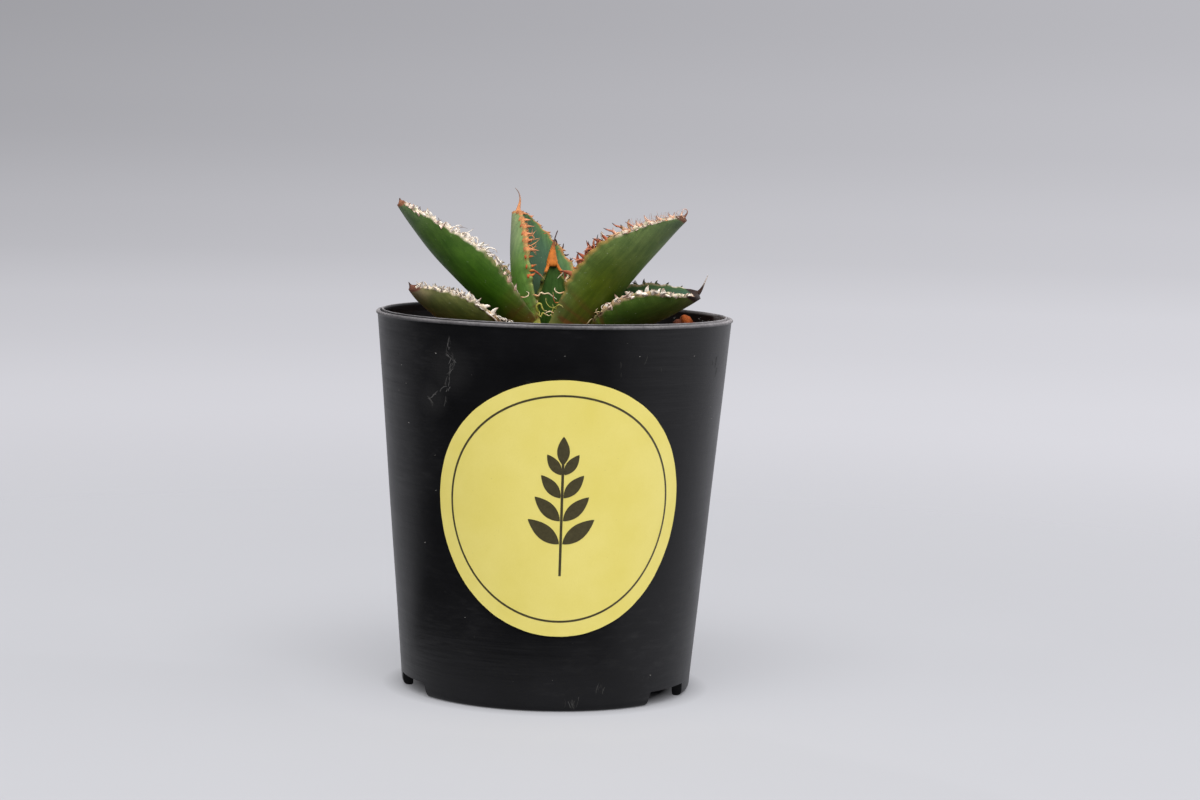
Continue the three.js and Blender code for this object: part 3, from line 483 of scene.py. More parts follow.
def label_paint():
    p = Paint("label_paper", Specular_IOR_Level=0.4)
    place = p.place()
    soft, fibre = p.noise(place, 0.09, 4, 0.55), p.noise(p.place((6, 6, 2.2)), 1.0, 4, 0.65)
    c = p.blend(p.spread(soft, 0.3, 0.7), linear((220, 205, 104)), linear((226, 212, 120)))
    c = p.blend(p.spread(fibre, 0.35, 0.65, (0, 0.16)), c, linear((208, 192, 92)))
    specks = p.spread(p.noise(place, 2.2, 2, 0.5), 0.74, 0.78)
    c = p.blend(p.mul(specks, 0.35), c, linear((150, 130, 70)))
    p.set(Base_Color=c, Roughness=p.spread(soft, 0.3, 0.7, (0.42, 0.52)))
    p.bump(p.add(fibre, p.mul(soft, 5)), 0.22, 0.06)
    return p.m


def grit_paint():
    p = Paint("grit", Specular_IOR_Level=0.25)
    place = p.place()
    n, fine = p.noise(place, 1.1, 4, 0.65), p.noise(place, 6.0, 4, 0.7)
    c = p.grade(p.tint(), n, 0.28, 0.72, (0.62, 0.6, 0.58), (1.3, 1.26, 1.2))
    p.set(Base_Color=p.grade(c, fine, 0.3, 0.7, (0.7, 0.7, 0.7), (1.2, 1.2, 1.2)), Roughness=p.spread(n, 0.3, 0.7, (0.82, 0.97)))
    p.bump(p.add(fine, n), 0.7, 0.16)
    return p.m


LEAF, LABEL, GRIT = leaf_paint(), label_paint(), grit_paint()
# pot_inside is the same plastic with weaker reflections, a darker copy that paints shade on the inner wall
POT, POT_INSIDE = pot_paint("pot_plastic", 0.2), pot_paint("pot_inside", 0.12)
HORN = plain_paint("horn", 0.4, 1.4, (0.72, 0.68, 0.64), (1.16, 1.12, 1.08), (0.4, 0.6), tinted=True, bump=(9, 0.35, 0.05))
INK = plain_paint("label_ink", 0.4, 1.6, linear((62, 56, 34)), linear((76, 70, 44)), (0.42, 0.55))
STEM = plain_paint("stem_tissue", 0.3, 1.5, linear((104, 92, 48)), linear((150, 138, 84)), (0.6, 0.8), 4, stretch=(1, 1, 0.35), bump=(1.5, 0.5, 0.2))
DUST = plain_paint("dust", 0.15, 2.5, (0.6, 0.6, 0.6), (1.2, 1.2, 1.2), (0.6, 0.8), tinted=True)


# ---- leaves ----
SPINE_STEPS = 60


class Leaf:
    """The solids' leaf: a spine line with a curled section along it."""

    def __init__(self, spec):
        self.__dict__.update(spec)
        n = SPINE_STEPS
        s = np.arange(n + 1) / n
        e = np.radians(self.el[0] + (self.el[1] - self.el[0]) * s)
        a = np.radians(self.az + self.turn * s**1.5)
        t = np.stack([np.cos(e) * np.cos(a), np.cos(e) * np.sin(a), np.sin(e)], -1)
        c = self.base + np.vstack([np.zeros(3), np.cumsum((t[1:] + t[:-1]) * self.length / n / 2, axis=0)])
        w0 = unit(np.stack([t[:, 1], -t[:, 0], 0 * s], -1))
        n0 = np.cross(w0, t)
        r = math.radians(self.roll)
        self.f = dict(c=c, t=t, w=w0 * math.cos(r) + n0 * math.sin(r), n=n0 * math.cos(r) - w0 * math.sin(r))

    def frame(self, s):
        s = np.atleast_1d(np.asarray(s, float))
        x = np.clip(s, 0, 1) * SPINE_STEPS
        i = np.minimum(x.astype(int), SPINE_STEPS - 1)
        g = (x - i)[:, None]
        c, t, w, n = (self.f[k][i] * (1 - g) + self.f[k][i + 1] * g for k in "ctwn")
        t, w, n = unit(t), unit(w), unit(n)
        over = (np.minimum(s, 0) + np.maximum(s - 1, 0))[:, None] * self.length
        return c + over * np.where(s[:, None] < 0, self.f["t"][0], self.f["t"][-1]), t, w, n

    def section(self, s):
        x, m = np.clip(np.asarray(s, float), 0, 1), self.wide
        rise = self.low + (1 - self.low) * np.sin(np.minimum(x / m, 1) * math.pi / 2)
        fall = np.maximum(1 - (np.maximum(x - m, 0) / (1 - m)) ** self.taper, 0) ** self.blunt
        a, b, c = self.curl
        curl = np.radians(a * (1 - x) * (1 - 2 * x) + 4 * b * x * (1 - x) + c * x * (2 * x - 1))
        return self.half * np.where(x < m, rise, fall) + 0.5, curl, self.thick * (1 - 0.72 * x**2.2)

    def points(self, s, u, out, ext=0.0):
        """Places at s along and u across, moved out through the thickness and ext further past the edge. All may be arrays of one shape."""
        s, u, out, ext = np.broadcast_arrays(*(np.asarray(k, float) for k in (s, u, out, ext)))
        shape = s.shape
        s, u, out, ext = (k.ravel() for k in (s, u, out, ext))
        c, t, w, n = self.frame(s)
        half, curl, _ = self.section(s)
        r, g = half / curl, curl * u
        sg, cg = np.sin(g)[:, None], np.cos(g)[:, None]
        p = c + w * (r[:, None] * sg + out[:, None] * sg) + n * (r[:, None] * (1 - cg) - out[:, None] * cg)
        p = p + (np.sign(u) * ext)[:, None] * (w * cg + n * sg)
        return p.reshape(*shape, 3)

    def axes(self, s, side):
        """Along the border and out from it."""
        there = [self.points(s + step, side * inward, MARGIN / 2) for step, inward in ((0.01, 1), (-0.01, 1), (0, 1), (0, 0.9))]
        return unit(there[0] - there[1]), unit(there[2] - there[3])

    def tooth_list(self):
        rnd = draw(self.seed)
        count, start, stop, low, high = self.teeth
        found = []
        for side in (-1, 1):
            for k in range(count):
                s = start + ((stop - start) * (k + 0.5 + 0.5 * (rnd() - 0.5))) / count
                size = (low if side < 0 else high) * (0.75 + 0.5 * rnd()) * (1.15 - 0.6 * s)
                along, out = self.axes(s, side)
                face = np.cross(along, out)
                out = unit(out + face * self.lean[side > 0])
                hook, tilt = (rnd() - 0.35) * 0.9, (rnd() - 0.5) * 0.7
                bend = along * hook + face * tilt - 0.12 * out
                first = out + along * (0.25 * (rnd() - 0.6) - hook * 0.3)
                root = self.points(s, side, MARGIN / 2)
                found.append(dict(s=s, side=side, root=root, first=first, bend=bend, along=along, size=size, wide=0.34 + 0.16 * size))
        return found


def waves(seed, count=7, low=0.6, high=3.2):
    """A smooth seeded ripple over two coordinates, from about -1 to 1."""
    rnd = draw(seed)
    terms = [(low + (high - low) * rnd(), (rnd() - 0.5) * 3.2, rnd() * 6.28, 0.5 + rnd()) for _ in range(count)]
    total = sum(t[3] for t in terms)
    return lambda a, b: sum(w * np.sin(6.28 * (f * a + g * b) + h) for f, g, h, w in terms) / total * 1.6


def shade(colours, *shares):
    """The first colour, then each next one mixed in by its share."""
    c = linear(colours[0])
    for rgb, share in zip(colours[1:], shares):
        c = mix(c, linear(rgb), share)
    return c


def tooth_zone(t, colours):
    """Colours of a tooth and its size beside the solids' tooth."""
    kind, scale = colours["tooth"], colours.get("size", 1.0)
    for key, here in (("early", t["s"] < colours.get("early", (0,))[0]), ("late", t["s"] > colours.get("late", (2,))[0]),
        ("far", t["side"] == colours.get("far", (0,))[0])):
        if here:
            _, kind, scale = colours[key]
    return kind, scale


def blade(leaf, skin, teeth, colours):
    rows, cols = 120, 34
    s = 1 - (1 + leaf.tail) * (1 - np.linspace(0, 1, rows)) ** 1.12
    u = np.linspace(-1, 1, cols + 1)
    fan = np.radians([-55, -18, 18, 55])
    across = np.concatenate([u, np.ones(4), u[::-1], -np.ones(4)])
    ext = np.concatenate([0 * u, MARGIN / 2 * np.cos(fan), 0 * u, MARGIN / 2 * np.cos(fan)])
    outer = np.concatenate([0 * u, 0.5 + 0.5 * np.sin(fan), 0 * u + 1, 0.5 + 0.5 * np.sin(fan[::-1])])
    S, U = np.meshgrid(s, across, indexing="ij")
    E, O = (np.broadcast_to(k, S.shape) for k in (ext, outer))
    wide, _, thick = leaf.section(S)
    near = np.clip((np.abs(U) - 0.72) / 0.28, 0, 1) ** 2
    knob = np.zeros_like(S)
    for t in teeth:
        d = (S - t["s"]) * leaf.length
        here = np.exp(-((d / (0.55 + 0.9 * t["wide"])) ** 2)) * (np.sign(U) == t["side"])
        knob = np.maximum(knob, here * t["size"] / 3 * tooth_zone(t, colours)[1] ** 2)
    ripple = waves(leaf.seed + 900)(S, U)
    out = MARGIN * O + np.where(O > 0.5, thick * (1 - np.abs(U) ** 1.6), 0) + (O - 0.5) * 0.16 * ripple * (1 - near)
    out = out + (O - 0.5) * 0.5 * knob * near
    frill = 0.34 * near * np.sin(S * leaf.length * 2.1 + 2.0 * np.sin(S * 9 + leaf.seed)) * (knob > 0.02) * steps(np.clip(S, 0, 1), 1.0, 0.8)
    p = leaf.points(S, U, out, E + near * (0.75 * knob - 0.16) + frill * 0.7)
    # tint
    f = np.clip(S, 0, 1)
    skin_out = mix(shade(colours["outer"][:3], steps(f, 0.0, 0.3), steps(f, 0.35, 0.8)), linear(colours["outer"][3]), steps(f, 0.75, 1.0))
    tint = mix(shade(colours["inner"], steps(f, 0.1, 0.7)), skin_out, O)
    tint = mix(tint, linear(colours["edge"]), 0.65 * np.clip((np.abs(U) - 0.6) / 0.4, 0, 1) ** 1.5)
    tint = mix(tint, linear((146, 124, 44)), colours.get("sap", 0.5) * steps(f, 0.12, -0.04))
    scurf = waves(leaf.seed + 40, 9, 2.0, 7.0)(S * 2.2, U * 1.1) + waves(leaf.seed + 41, 9, 6.0, 16.0)(S * 2.2, U * 1.1)
    tint = mix(tint, linear((92, 52, 28)), 0.75 * steps(f, 0.3, 0.04) * steps(scurf, -0.1, 0.9) * O)
    start, pale = colours.get("horn", leaf.teeth[1]), colours.get("pale", 2)
    horny = steps(f, start - 0.12, start + 0.05)
    edge = np.maximum(np.clip((np.abs(U) - 0.972) / 0.02, 0, 1), (E > 0) * 1.0)
    patchy = np.clip(0.62 + 0.5 * np.sin(S * 150 + leaf.seed) * np.sin(S * 67 + 2) + 0.5 * knob, 0, 1)
    border = shade((colours["border"], (226, 208, 190)), steps(f, pale - 0.04, pale + 0.06))
    tint = mix(tint, border, edge * (0.18 + 0.82 * horny) * patchy)
    fork = colours["fork"]
    dead = steps(f + (0.35 * fork + colours.get("decurrent", 0)) * (np.abs(U) ** 2 - 0.5) + 0.12 * fork * ripple, 1 - fork, 1 - 0.7 * fork)
    tint = mix(tint, linear(colours["dead"]) * 0.92, dead)
    flat = np.stack([U * wide, S * leaf.length], -1) + leaf.seed
    skin.add(p, tube(rows, len(across)), tint, 0, flat)


def horns(leaf, skin, teeth, colours):
    """The teeth that the solids carry, slimmer and curved."""
    rnd = draw(leaf.seed + 5)
    for t in teeth:
        kind, scale = tooth_zone(t, colours)
        white = kind is WHITE
        q = np.linspace(0, 1, 16)
        face = unit(np.cross(t["along"], t["first"]))
        d = unit(t["first"] + 2 * q[:, None] * t["bend"])
        d = spin(d, face, (2.6 if white else 0.9) * (rnd() - 0.5) * 1.6 * q**1.3)
        size = t["size"] * (0.95 if white else 1.12) * scale
        line = path(t["root"] - 0.7 * d[0], d, (size + 0.7) / 15)
        k = np.clip((q * (size + 0.7) - 0.7) / size, 0, 1)
        widths = t["wide"] * (0.85 * (1 - k ** (2.6 if white else 1.4)) ** 1.1 + 0.3 * np.exp(-((k / 0.14) ** 2))) * 0.85 * scale**0.5 + 0.03
        skin.strand(line, widths, t["along"], 8, 0.75, shade(kind, np.clip(k * 2.2, 0, 1), steps(k, 0.55, 1.0)) * (0.8 + 0.35 * rnd()))


def spine(leaf, skin, colours):
    length, width, up, side = leaf.spine
    c, t, w, n = (k[0] for k in leaf.frame(1.0))
    slim, hook, aside = colours.get("needle", (0.8, 0, 0))
    first = unit(t + n * up * 0.25)
    bend = n * up * 0.7 + w * side
    q = np.linspace(0, 1, 34)
    long, bow = (1.35 * length, 0.35) if abs(hook) > 2 else (length, 1)
    d = unit(first + 2 * q[:, None] * bend * bow)
    d = spin(d, np.array([0.0, -1.0, 0.0]), aside + hook * np.clip((q - 0.25) / 0.75, 0, 1) ** 1.2)
    line = path(c - 0.3 * n, d, long / 33)
    root = 0.5 if colours.get("flare", 0) else 1.2
    line = np.vstack([line[0] - first * 2 * root, line[0] - first * root, line])
    k = np.concatenate([[0, 0], q])
    if colours.get("flare", 0):
        widths = width * (0.11 + colours["flare"] * np.clip(1 - k / 0.72, 0, 1) ** 1.15)
    else:
        widths = width * slim * (0.12 + 0.88 * (1 - k) ** 1.5 * (1 - 0.35 * np.sin(math.pi * k)))
    widths = widths * np.where(k < 1, 1, 0.35)
    skin.strand(line, widths, w, 12, 0.85, shade(colours["spine"], steps(k, 0.3, 0.75)))


def fibres(leaf, skin, plan):
    """Curved and curling spines rooted in the borders."""
    rnd = draw(leaf.seed + 300)
    for count, low, high, side, short, long, thin, turn, kind, aim, uneven in plan:
        for k in range(count):
            s = low + (high - low) * (k + rnd()) / count
            edge = leaf.points(s, side, MARGIN * (0.2 + 0.6 * rnd()))
            along, out = leaf.axes(s, side)
            face = unit(leaf.points(s, side, MARGIN) - leaf.points(s, side, 0))
            size = short + (long - short) * rnd()
            stray = np.array([rnd(), rnd(), rnd()]) - 0.5
            d = unit(out * (aim[0] + uneven * abs(stray[0])) + along * (aim[1] + 2.4 * uneven * stray[1])
                + face * (aim[2] + uneven * stray[2] - 0.12 * uneven))
            axis = unit(face * (1 if rnd() > 0.5 else -1) + 1.1 * (np.array([rnd(), rnd(), rnd()]) - 0.5))
            axis = unit(axis - d * (axis @ d) * 0.8)
            rate, n, flip = turn * (0.4 + 1.1 * rnd()), 8 + int(2.2 * turn), 0.35 + 0.9 * rnd()
            step = (size + 0.5) / (n - 1)
            p, line = edge - out * 0.5, []
            for i in range(n):
                line.append(p)
                p = p + d * step
                d = unit(d + np.cross(axis, d) * rate / n * (1 if i / n < flip else -1))
            q = np.linspace(0, 1, n)
            blunt = 3.5 if thin > 0.26 and kind[1][0] > 200 else 1.8
            widths = thin * (0.22 + 0.78 * (1 - q**blunt)) * (1 + 0.25 * np.exp(-((q / 0.15) ** 2))) * (0.85 + 0.3 * rnd())
            widths[-1] *= 0.35
            skin.strand(line, widths, along, 6, 0.7, shade(kind, steps(q, 0.05, 0.45), steps(q, 0.6, 1.0)) * (0.8 + 0.32 * rnd()))


def through(points, n):
    """A smooth line through the points."""
    p = np.asarray(points, float)
    p = np.vstack([2 * p[0] - p[1], p, 2 * p[-1] - p[-2]])
    t = np.linspace(0, len(points) - 1 - 1e-6, n)
    i = t.astype(int)
    f = (t - i)[:, None]
    a, b, c, d = (p[i + k] for k in range(4))
    return 0.5 * (2 * b + (c - a) * f + (2 * a - 5 * b + 4 * c - d) * f**2 + (3 * b - a - 3 * c + d) * f**3)


def curls(leaf, skin):
    """The long curls that stand out from the borders."""
    for s, side, thin, kind, places in CURLS.get(leaf.name, ()):
        n = 8 + 5 * len(places)
        flat, k = through(places, n), np.linspace(0, 1, n)
        line = leaf.points(s, side, MARGIN / 2) + np.stack([flat[:, 0], -0.3 * np.sin(math.pi * k), flat[:, 1]], -1)
        widths = 1.2 * thin * (1 + 0.2 * np.exp(-((k / 0.15) ** 2))) * (1 - 0.85 * k**3) * (1 + 0.12 * np.sin(k * 23 + s * 90))
        skin.strand(line, widths, np.array([0, -1.0, 0]), 8, 0.7, shade(kind, steps(k, 0.05, 0.4), steps(k, 0.55, 1.0)))


def make_leaves():
    for spec in LEAVES:
        leaf, skin = Leaf(spec), Skin()
        *shades, extra = PALETTE[leaf.name]
        colours, teeth = dict(zip(SHADES, shades), **extra), leaf.tooth_list()
        blade(leaf, skin, teeth, colours)
        horns(leaf, skin, teeth, colours)
        spine(leaf, skin, colours)
        fibres(leaf, skin, FIBRES[leaf.name])
        curls(leaf, skin)
        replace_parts(skin.object(leaf.name + "_skin", [LEAF, HORN], "leaf_tissue"), leaf.name)


# ---- pot ----
def wall_radius(z):
    return BASE_RADIUS + (RIM_RADIUS - LIP_OVERHANG - BASE_RADIUS) * (z - BASE_CORNER) / (POT_HEIGHT - LIP_DEPTH - BASE_CORNER)


def smooth_profile(points):
    """Cuts the corners of a closed profile."""
    p = np.array(points, float)
    on = np.roll(p, -1, axis=0) - p
    k = np.minimum(0.25, 0.3 / np.hypot(*on.T))[:, None]
    return np.stack([p + on * k, p + on * (1 - k)], 1).reshape(-1, 2)


def cut(target, cutters):
    for c in cutters:
        m = target.modifiers.new("cut", "BOOLEAN")
        m.operation, m.solver, m.object = "DIFFERENCE", "EXACT", c
    dg = bpy.context.evaluated_depsgraph_get()
    me = bpy.data.meshes.new_from_object(target.evaluated_get(dg), preserve_all_data_layers=True, depsgraph=dg)
    target.modifiers.clear()
    target.data = me
    for c in cutters:
        bpy.data.objects.remove(c)


def sector(azimuth):
    """A notch's cutter."""
    skin, ring, k = Skin(), [], np.arange(-6, 7) / 6
    for z, half in ((-0.5, NOTCH_HALF_WIDTH + NOTCH_SLOPE), (NOTCH_HEIGHT, NOTCH_HALF_WIDTH - NOTCH_SLOPE)):
        ring += [polar(r, np.radians(azimuth + side * half * k), z) for r, side in ((27, 1), (36, -1))]
    faces = [(k, k + 26, (k + 1) % 26 + 26, (k + 1) % 26) for k in range(26)]
    faces += [(k, k + 1, 24 - k, 25 - k) for k in range(12)] + [(k + 26, 51 - k, 50 - k, k + 27) for k in range(12)]
    skin.add(np.concatenate(ring), faces, (0, 0, 0))
    return skin.object("notch_cut", [POT])


def drain(centre):
    """A drain hole's cutter."""
    skin, n = Skin(), 24
    skin.add(centre + polar(DRAIN_RADIUS, circle(n), [[RECESS - 1], [RECESS + FLOOR + 0.2]]), tube(2, n), (0, 0, 0))
    return skin.object("drain_cut", [POT])


def pot_warp(a, z):
    """How far the thin wall and rim stray from true: outwards and down."""
    high = np.clip(np.asarray(z) / POT_HEIGHT, 0, 1)
    out = 0.10 * np.sin(3 * a + 0.6 + 2.2 * high) * high + 0.07 * np.sin(5 * a + 9 * high) * high * (1 - high) * 3
    drop = 0.35 * np.maximum(0, np.cos(a - 0.75)) ** 2 * high**6
    return out * np.clip((z - 4) / 12, 0, 1), -drop


def on_pot(a, z, out):
    """Places on the wall's outside, or out from it."""
    return polar(wall_radius(z) + pot_warp(a, z)[0] + out, a, z)


def make_pot():
    top, floor, inner = POT_HEIGHT, RECESS + FLOOR, RIM_RADIUS - RIM_WIDTH
    foot, axis = FOOT_RADIUS - FOOT_WIDTH, 0.02
    outline = [(FOOT_RADIUS, 0), (FOOT_RADIUS + 0.75, 0.35), (BASE_RADIUS - 0.1, 0.95), (BASE_RADIUS, BASE_CORNER)]
    outline += [(wall_radius(z), z) for z in (8, 20, 32, 44, 56, 68, 78, top - LIP_DEPTH - 0.3, top - LIP_DEPTH)]
    # the lip: out from the inner edge, down from the crest
    crest = [(1.72, 1), (1.8, 0.7), (1.65, 0.4), (1.25, 0.28), (0.95, 0.34), (0.72, 0.62)]
    crest += [(0.55, 0.6), (0.5, 0.12), (0.38, 0), (0.15, 0), (0, 0.25), (-0.05, 0.5)]
    outline += [(inner + out, top - down) for out, down in crest]
    outline += [(wall_radius(z) - WALL, z) for z in (top - 2, 70, 50, 30, floor + 1.2)]
    outline += [(wall_radius(floor) - WALL - 0.9, floor), (24, floor), (12, floor), (axis, floor), (axis, RECESS), (12, RECESS), (24, RECESS)]
    outline += [(foot - 0.5, RECESS), (foot, RECESS - 0.5), (foot, 0)]
    profile = smooth_profile(outline)
    n, rows, skin = 240, len(profile), Skin()
    a, r, z = circle(n), profile[:, :1], profile[:, 1:]
    out, up = pot_warp(a, z)
    faces = grid(rows, n) + [((rows - 1) * n + j, (rows - 1) * n + (j + 1) % n, (j + 1) % n, j) for j in range(n)]
    # tint: how worn and dusty the rim is there, with painted highlight at its right, towards the light, and painted
    # sheen at both ends of what the front shows, where the rim is seen edge-on
    right, ends = steps(np.cos(a + 0.1), 0.55, 0.9), steps(np.abs(np.cos(a)), 0.88, 0.99)
    lip = steps(z, top - LIP_DEPTH - 0.02, top - LIP_DEPTH + 0.12) * (0.6 + 0.4 * steps(z, top - 0.75, top - 0.4))
    lip = np.where(r < inner + 0.9, np.where(z < top - 0.15, 0.8 * right, 0.95), lip) * (1 + 0.3 * right + 0.9 * ends)
    first, last = np.flatnonzero(z > top - 0.45)[-1] + 1, np.argmin(r)
    # the inside below the lip: a trace of the rim's colour, and a painted highlight on the inner wall's right side near
    # the top
    lip = np.where(np.arange(rows)[:, None] >= first, 0.02 + 2.6 * steps(np.cos(a), 0.945, 0.975) * steps(z, top - 6.5, top - 2), lip)
    skin.add(polar(r + out, a, z + up), faces, np.repeat(lip.reshape(-1, 1), 3, axis=1))
    # the inside, from below the lip down to the middle of the floor, takes pot_inside: painted shade
    skin.m = [int(first <= f[0] // n < last) for f in faces]
    pot = skin.object("pot_shell", [POT, POT_INSIDE], "pot_plastic")
    holes = [*polar(DRAIN_RING, circle(DRAIN_COUNT), 0), np.zeros(3)]
    cut(pot, [sector(k) for k in NOTCH_AZIMUTHS] + [drain(c) for c in holes])
    pot.data.shade_smooth()
    pot.data.set_sharp_from_angle(angle=math.radians(38))
    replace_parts(pot, "pot")


SCUFF_RADIUS = 36  # of the wall, about midway up


def make_scuffs():
    """Faint rubbed strokes and specks of dust on the wall, angles in degrees and heights as they are seen."""
    skin, rnd = Skin(), draw(61)

    def stroke(a, z, turn, long, wide, tone):
        q, k, c, s = np.linspace(-0.5, 0.5, 9), np.array([[-1], [0], [1]]), math.cos(turn), math.sin(turn)
        bow = (rnd() - 0.5) * 1.2 * q * q
        x, y = long * (q * c - bow * s), long * (q * s + bow * c)
        half = k * wide / 2 * np.sqrt(np.clip(1 - (2 * q) ** 2, 0.02, 1))
        v = on_pot(a + (x - half * s) / SCUFF_RADIUS, z + y + half * c, np.where(k, 0.02, 0.035))
        skin.add(v, grid(3, 9, False), np.array([1, 0.97, 0.94]) * tone)

    trails = [((-124.5, 80.5), (-125.5, 77.5), (-123, 75.5), (-124.5, 73.2), (-127.5, 70), (-133.5, 67), (-132.5, 66)),
        ((-123.5, 77.5), (-125, 71.5), (-126.5, 66))]
    for trail in trails:
        for (a, z), (b, y) in zip(trail, trail[1:]):
            turn = math.atan2(y - z, math.radians(b - a) * SCUFF_RADIUS)
            for k in range(5):
                f = (k + rnd()) / 5
                at = math.radians(a + (b - a) * f + 1.2 * (rnd() - 0.5))
                stroke(at, z + (y - z) * f, turn + rnd() - 0.5, 0.8 + 1.6 * rnd(), 0.1 + 0.1 * rnd(), 0.03 + 0.07 * rnd())
    for a, z, spread, count, tone in ((-70, 5, 3, 7, 0.045), (-82, 2.2, 6, 8, 0.05), (-50, 7, 5, 4, 0.03), (-30, 74, 9, 5, 0.03),
        (-60, 76, 9, 4, 0.03)):
        for _ in range(count):
            at, high = math.radians(a + spread * (rnd() - 0.5) * 2), max(1.8, z + spread * 0.5 * (rnd() - 0.5))
            stroke(at, high, 1.57 + (rnd() - 0.5) * 0.9, 0.8 + 1.8 * rnd(), 0.09 + 0.06 * rnd(), tone * (0.6 + 0.8 * rnd()))
    for k in range(40):
        stroke(math.radians(k * 137.5), 4 + 76 * rnd(), rnd() * 3.1, 0.6 + 1.6 * rnd() ** 2, 0.08 + 0.05 * rnd(), 0.02 + 0.03 * rnd())
    spots = [(-130, 77, 0.2), (-132.5, 47, 0.13), (-151, 67.8, 0.15), (-145.5, 61, 0.15), (-86.5, 77.8, 0.13), (-24, 65.5, 0.16), (-46, 7, 0.2),
        (-139.5, 35, 0.15), (-62, 77.8, 0.12), (-22, 62.8, 0.12)]
    spots += [(-170 + 360 * rnd(), 3 + 78 * rnd(), 0.06 + 0.08 * rnd()) for _ in range(110)]
    for a, z, size in spots:
        v, f = rock(size, rnd, 1)
        skin.add(v * 0.9 + on_pot(math.radians(a), z, 0.0), f, np.array([1, 0.96, 0.9]) * (0.12 + 0.4 * rnd() * (size > 0.11)))
    for _ in range(70):
        a, size = math.radians(-14 + 62 * rnd()), 0.07 + 0.11 * rnd()
        v, f = rock(size, rnd, 1)
        skin.add(v + on_pot(a, POT_HEIGHT - 0.9 - 5 * rnd() ** 1.5, -WALL - 0.05), f, np.array([1, 0.97, 0.93]) * (0.2 + 0.45 * rnd()))
    skin.object("pot_scuffs", [DUST], "pot_plastic")


# ---- label ----
def on_wall(x, z, out):
    """Place of a point of the flat sticker, x across and z up from its centre, out from the wall."""
    a = math.radians(LABEL_AZIMUTH) + x / wall_radius(LABEL_HEIGHT)
    return on_pot(a, LABEL_HEIGHT + z, out)


def make_label():
    """The sticker, and on it a thin ring and a plain sprig."""
    skin, rings, n, front = Skin(), 40, 240, LABEL_GAP + LABEL_THICKNESS
    a, last = circle(n), 1 + (rings - 1) * n
    edge = LABEL_RADIUS * (1 + 0.0006 * np.sin(17 * a) + 0.0005 * np.sin(41 * a + 1))
    r = np.linspace(0, 1, rings + 1)[1:, None] * edge
    v = [on_wall(0, 0, front)[None], on_wall(r * np.cos(a), r * np.sin(a), front).reshape(-1, 3), on_wall(edge * np.cos(a), edge * np.sin(a), 0.02)]
    faces = [(0, 1 + j, 1 + (j + 1) % n) for j in range(n)] + grid(rings, n, True, 1)
    faces += [(last + j, last + n + j, last + n + (j + 1) % n, last + (j + 1) % n) for j in range(n)]
    faces.append(tuple(range(last + 2 * n - 1, last + n - 1, -1)))
    skin.add(np.concatenate(v), [f[::-1] for f in faces], (0.7, 0.6, 0.15))
    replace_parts(skin.object("label_sticker", [LABEL], "label_paper", 40), "label")
    ink = Skin()

    def printed(x, z):
        x, z = np.broadcast_arrays(x, z)
        ink.add(on_wall(x, z, front + 0.03), [f[::-1] for f in grid(*x.shape, False)], (0.04, 0.035, 0.015))

    def sprig_leaf(x, z, angle, long, wide):
        """A pointed leaf whose foot is at (x, z)."""
        t, c, s = np.linspace(0, 1, 26)[:, None], math.cos(math.radians(angle)), math.sin(math.radians(angle))
        b = wide / 2 * np.sin(math.pi * t) ** 0.8 * (1.15 - 0.3 * t) * np.linspace(-1, 1, 9)
        printed(x + t * long * c - b * s, z + t * long * s + b * c)

    a, r = np.radians(np.linspace(0, 360, 200)), np.array([[24.3], [24.75]])
    printed(r * np.cos(a), r * np.sin(a))
    for k in range(4):
        for side in (-1, 1):
            sprig_leaf(side * 0.35, 5 * k - 7.5, 90 - side * (52 - 6 * k), 8.6 - 1.1 * k, 3.3 - 0.35 * k)
    sprig_leaf(0, 9.6, 90, 6.2, 2.6)
    printed(np.array([-0.28, 0, 0.28]), np.linspace(-14.5, 10.4, 60)[:, None])
    ink.object("label_print", [INK], "label_paper")


# ---- soil ----
EARTH = [((150, 92, 56), 0.34), ((120, 74, 46), 0.2), ((176, 120, 78), 0.1), ((128, 124, 120), 0.14), ((186, 180, 170), 0.08), ((74, 62, 54), 0.14)]


def soil_level(x, y):
    return SOIL_TOP - 2.5 * (1 - steps(np.hypot(x, y), WELL_RADIUS - 1.5, WELL_RADIUS + 1.5))


def rock(size, rnd, detail):
    """An uneven grain: a rounded block with chipped corners."""
    bm = bmesh.new()
    bmesh.ops.create_icosphere(bm, subdivisions=detail, radius=1)
    v = np.array([q.co[:] for q in bm.verts])
    f = [tuple(q.index for q in g.verts) for g in bm.faces]
    bm.free()
    for _ in range(5):
        n = unit(np.array([rnd() - 0.5, rnd() - 0.5, rnd() - 0.5]))
        d = v @ n
        v = v - np.outer(np.maximum(d - (0.55 + 0.3 * rnd()), 0) * 0.85, n)
    v = v * (1 + 0.05 * np.sin(v[:, [1]] * 7 + rnd() * 6) * np.sin(v[:, [2]] * 6 + rnd() * 6))
    v = v * [1, 0.78 + 0.25 * rnd(), 0.66 + 0.25 * rnd()]
    for i, j in ((1, 2), (0, 1)):
        a = rnd() * 6.28
        m = np.eye(3)
        m[i, i] = m[j, j] = math.cos(a)
        m[i, j], m[j, i] = -math.sin(a), math.sin(a)
        v = v @ m.T
    return v * size, f


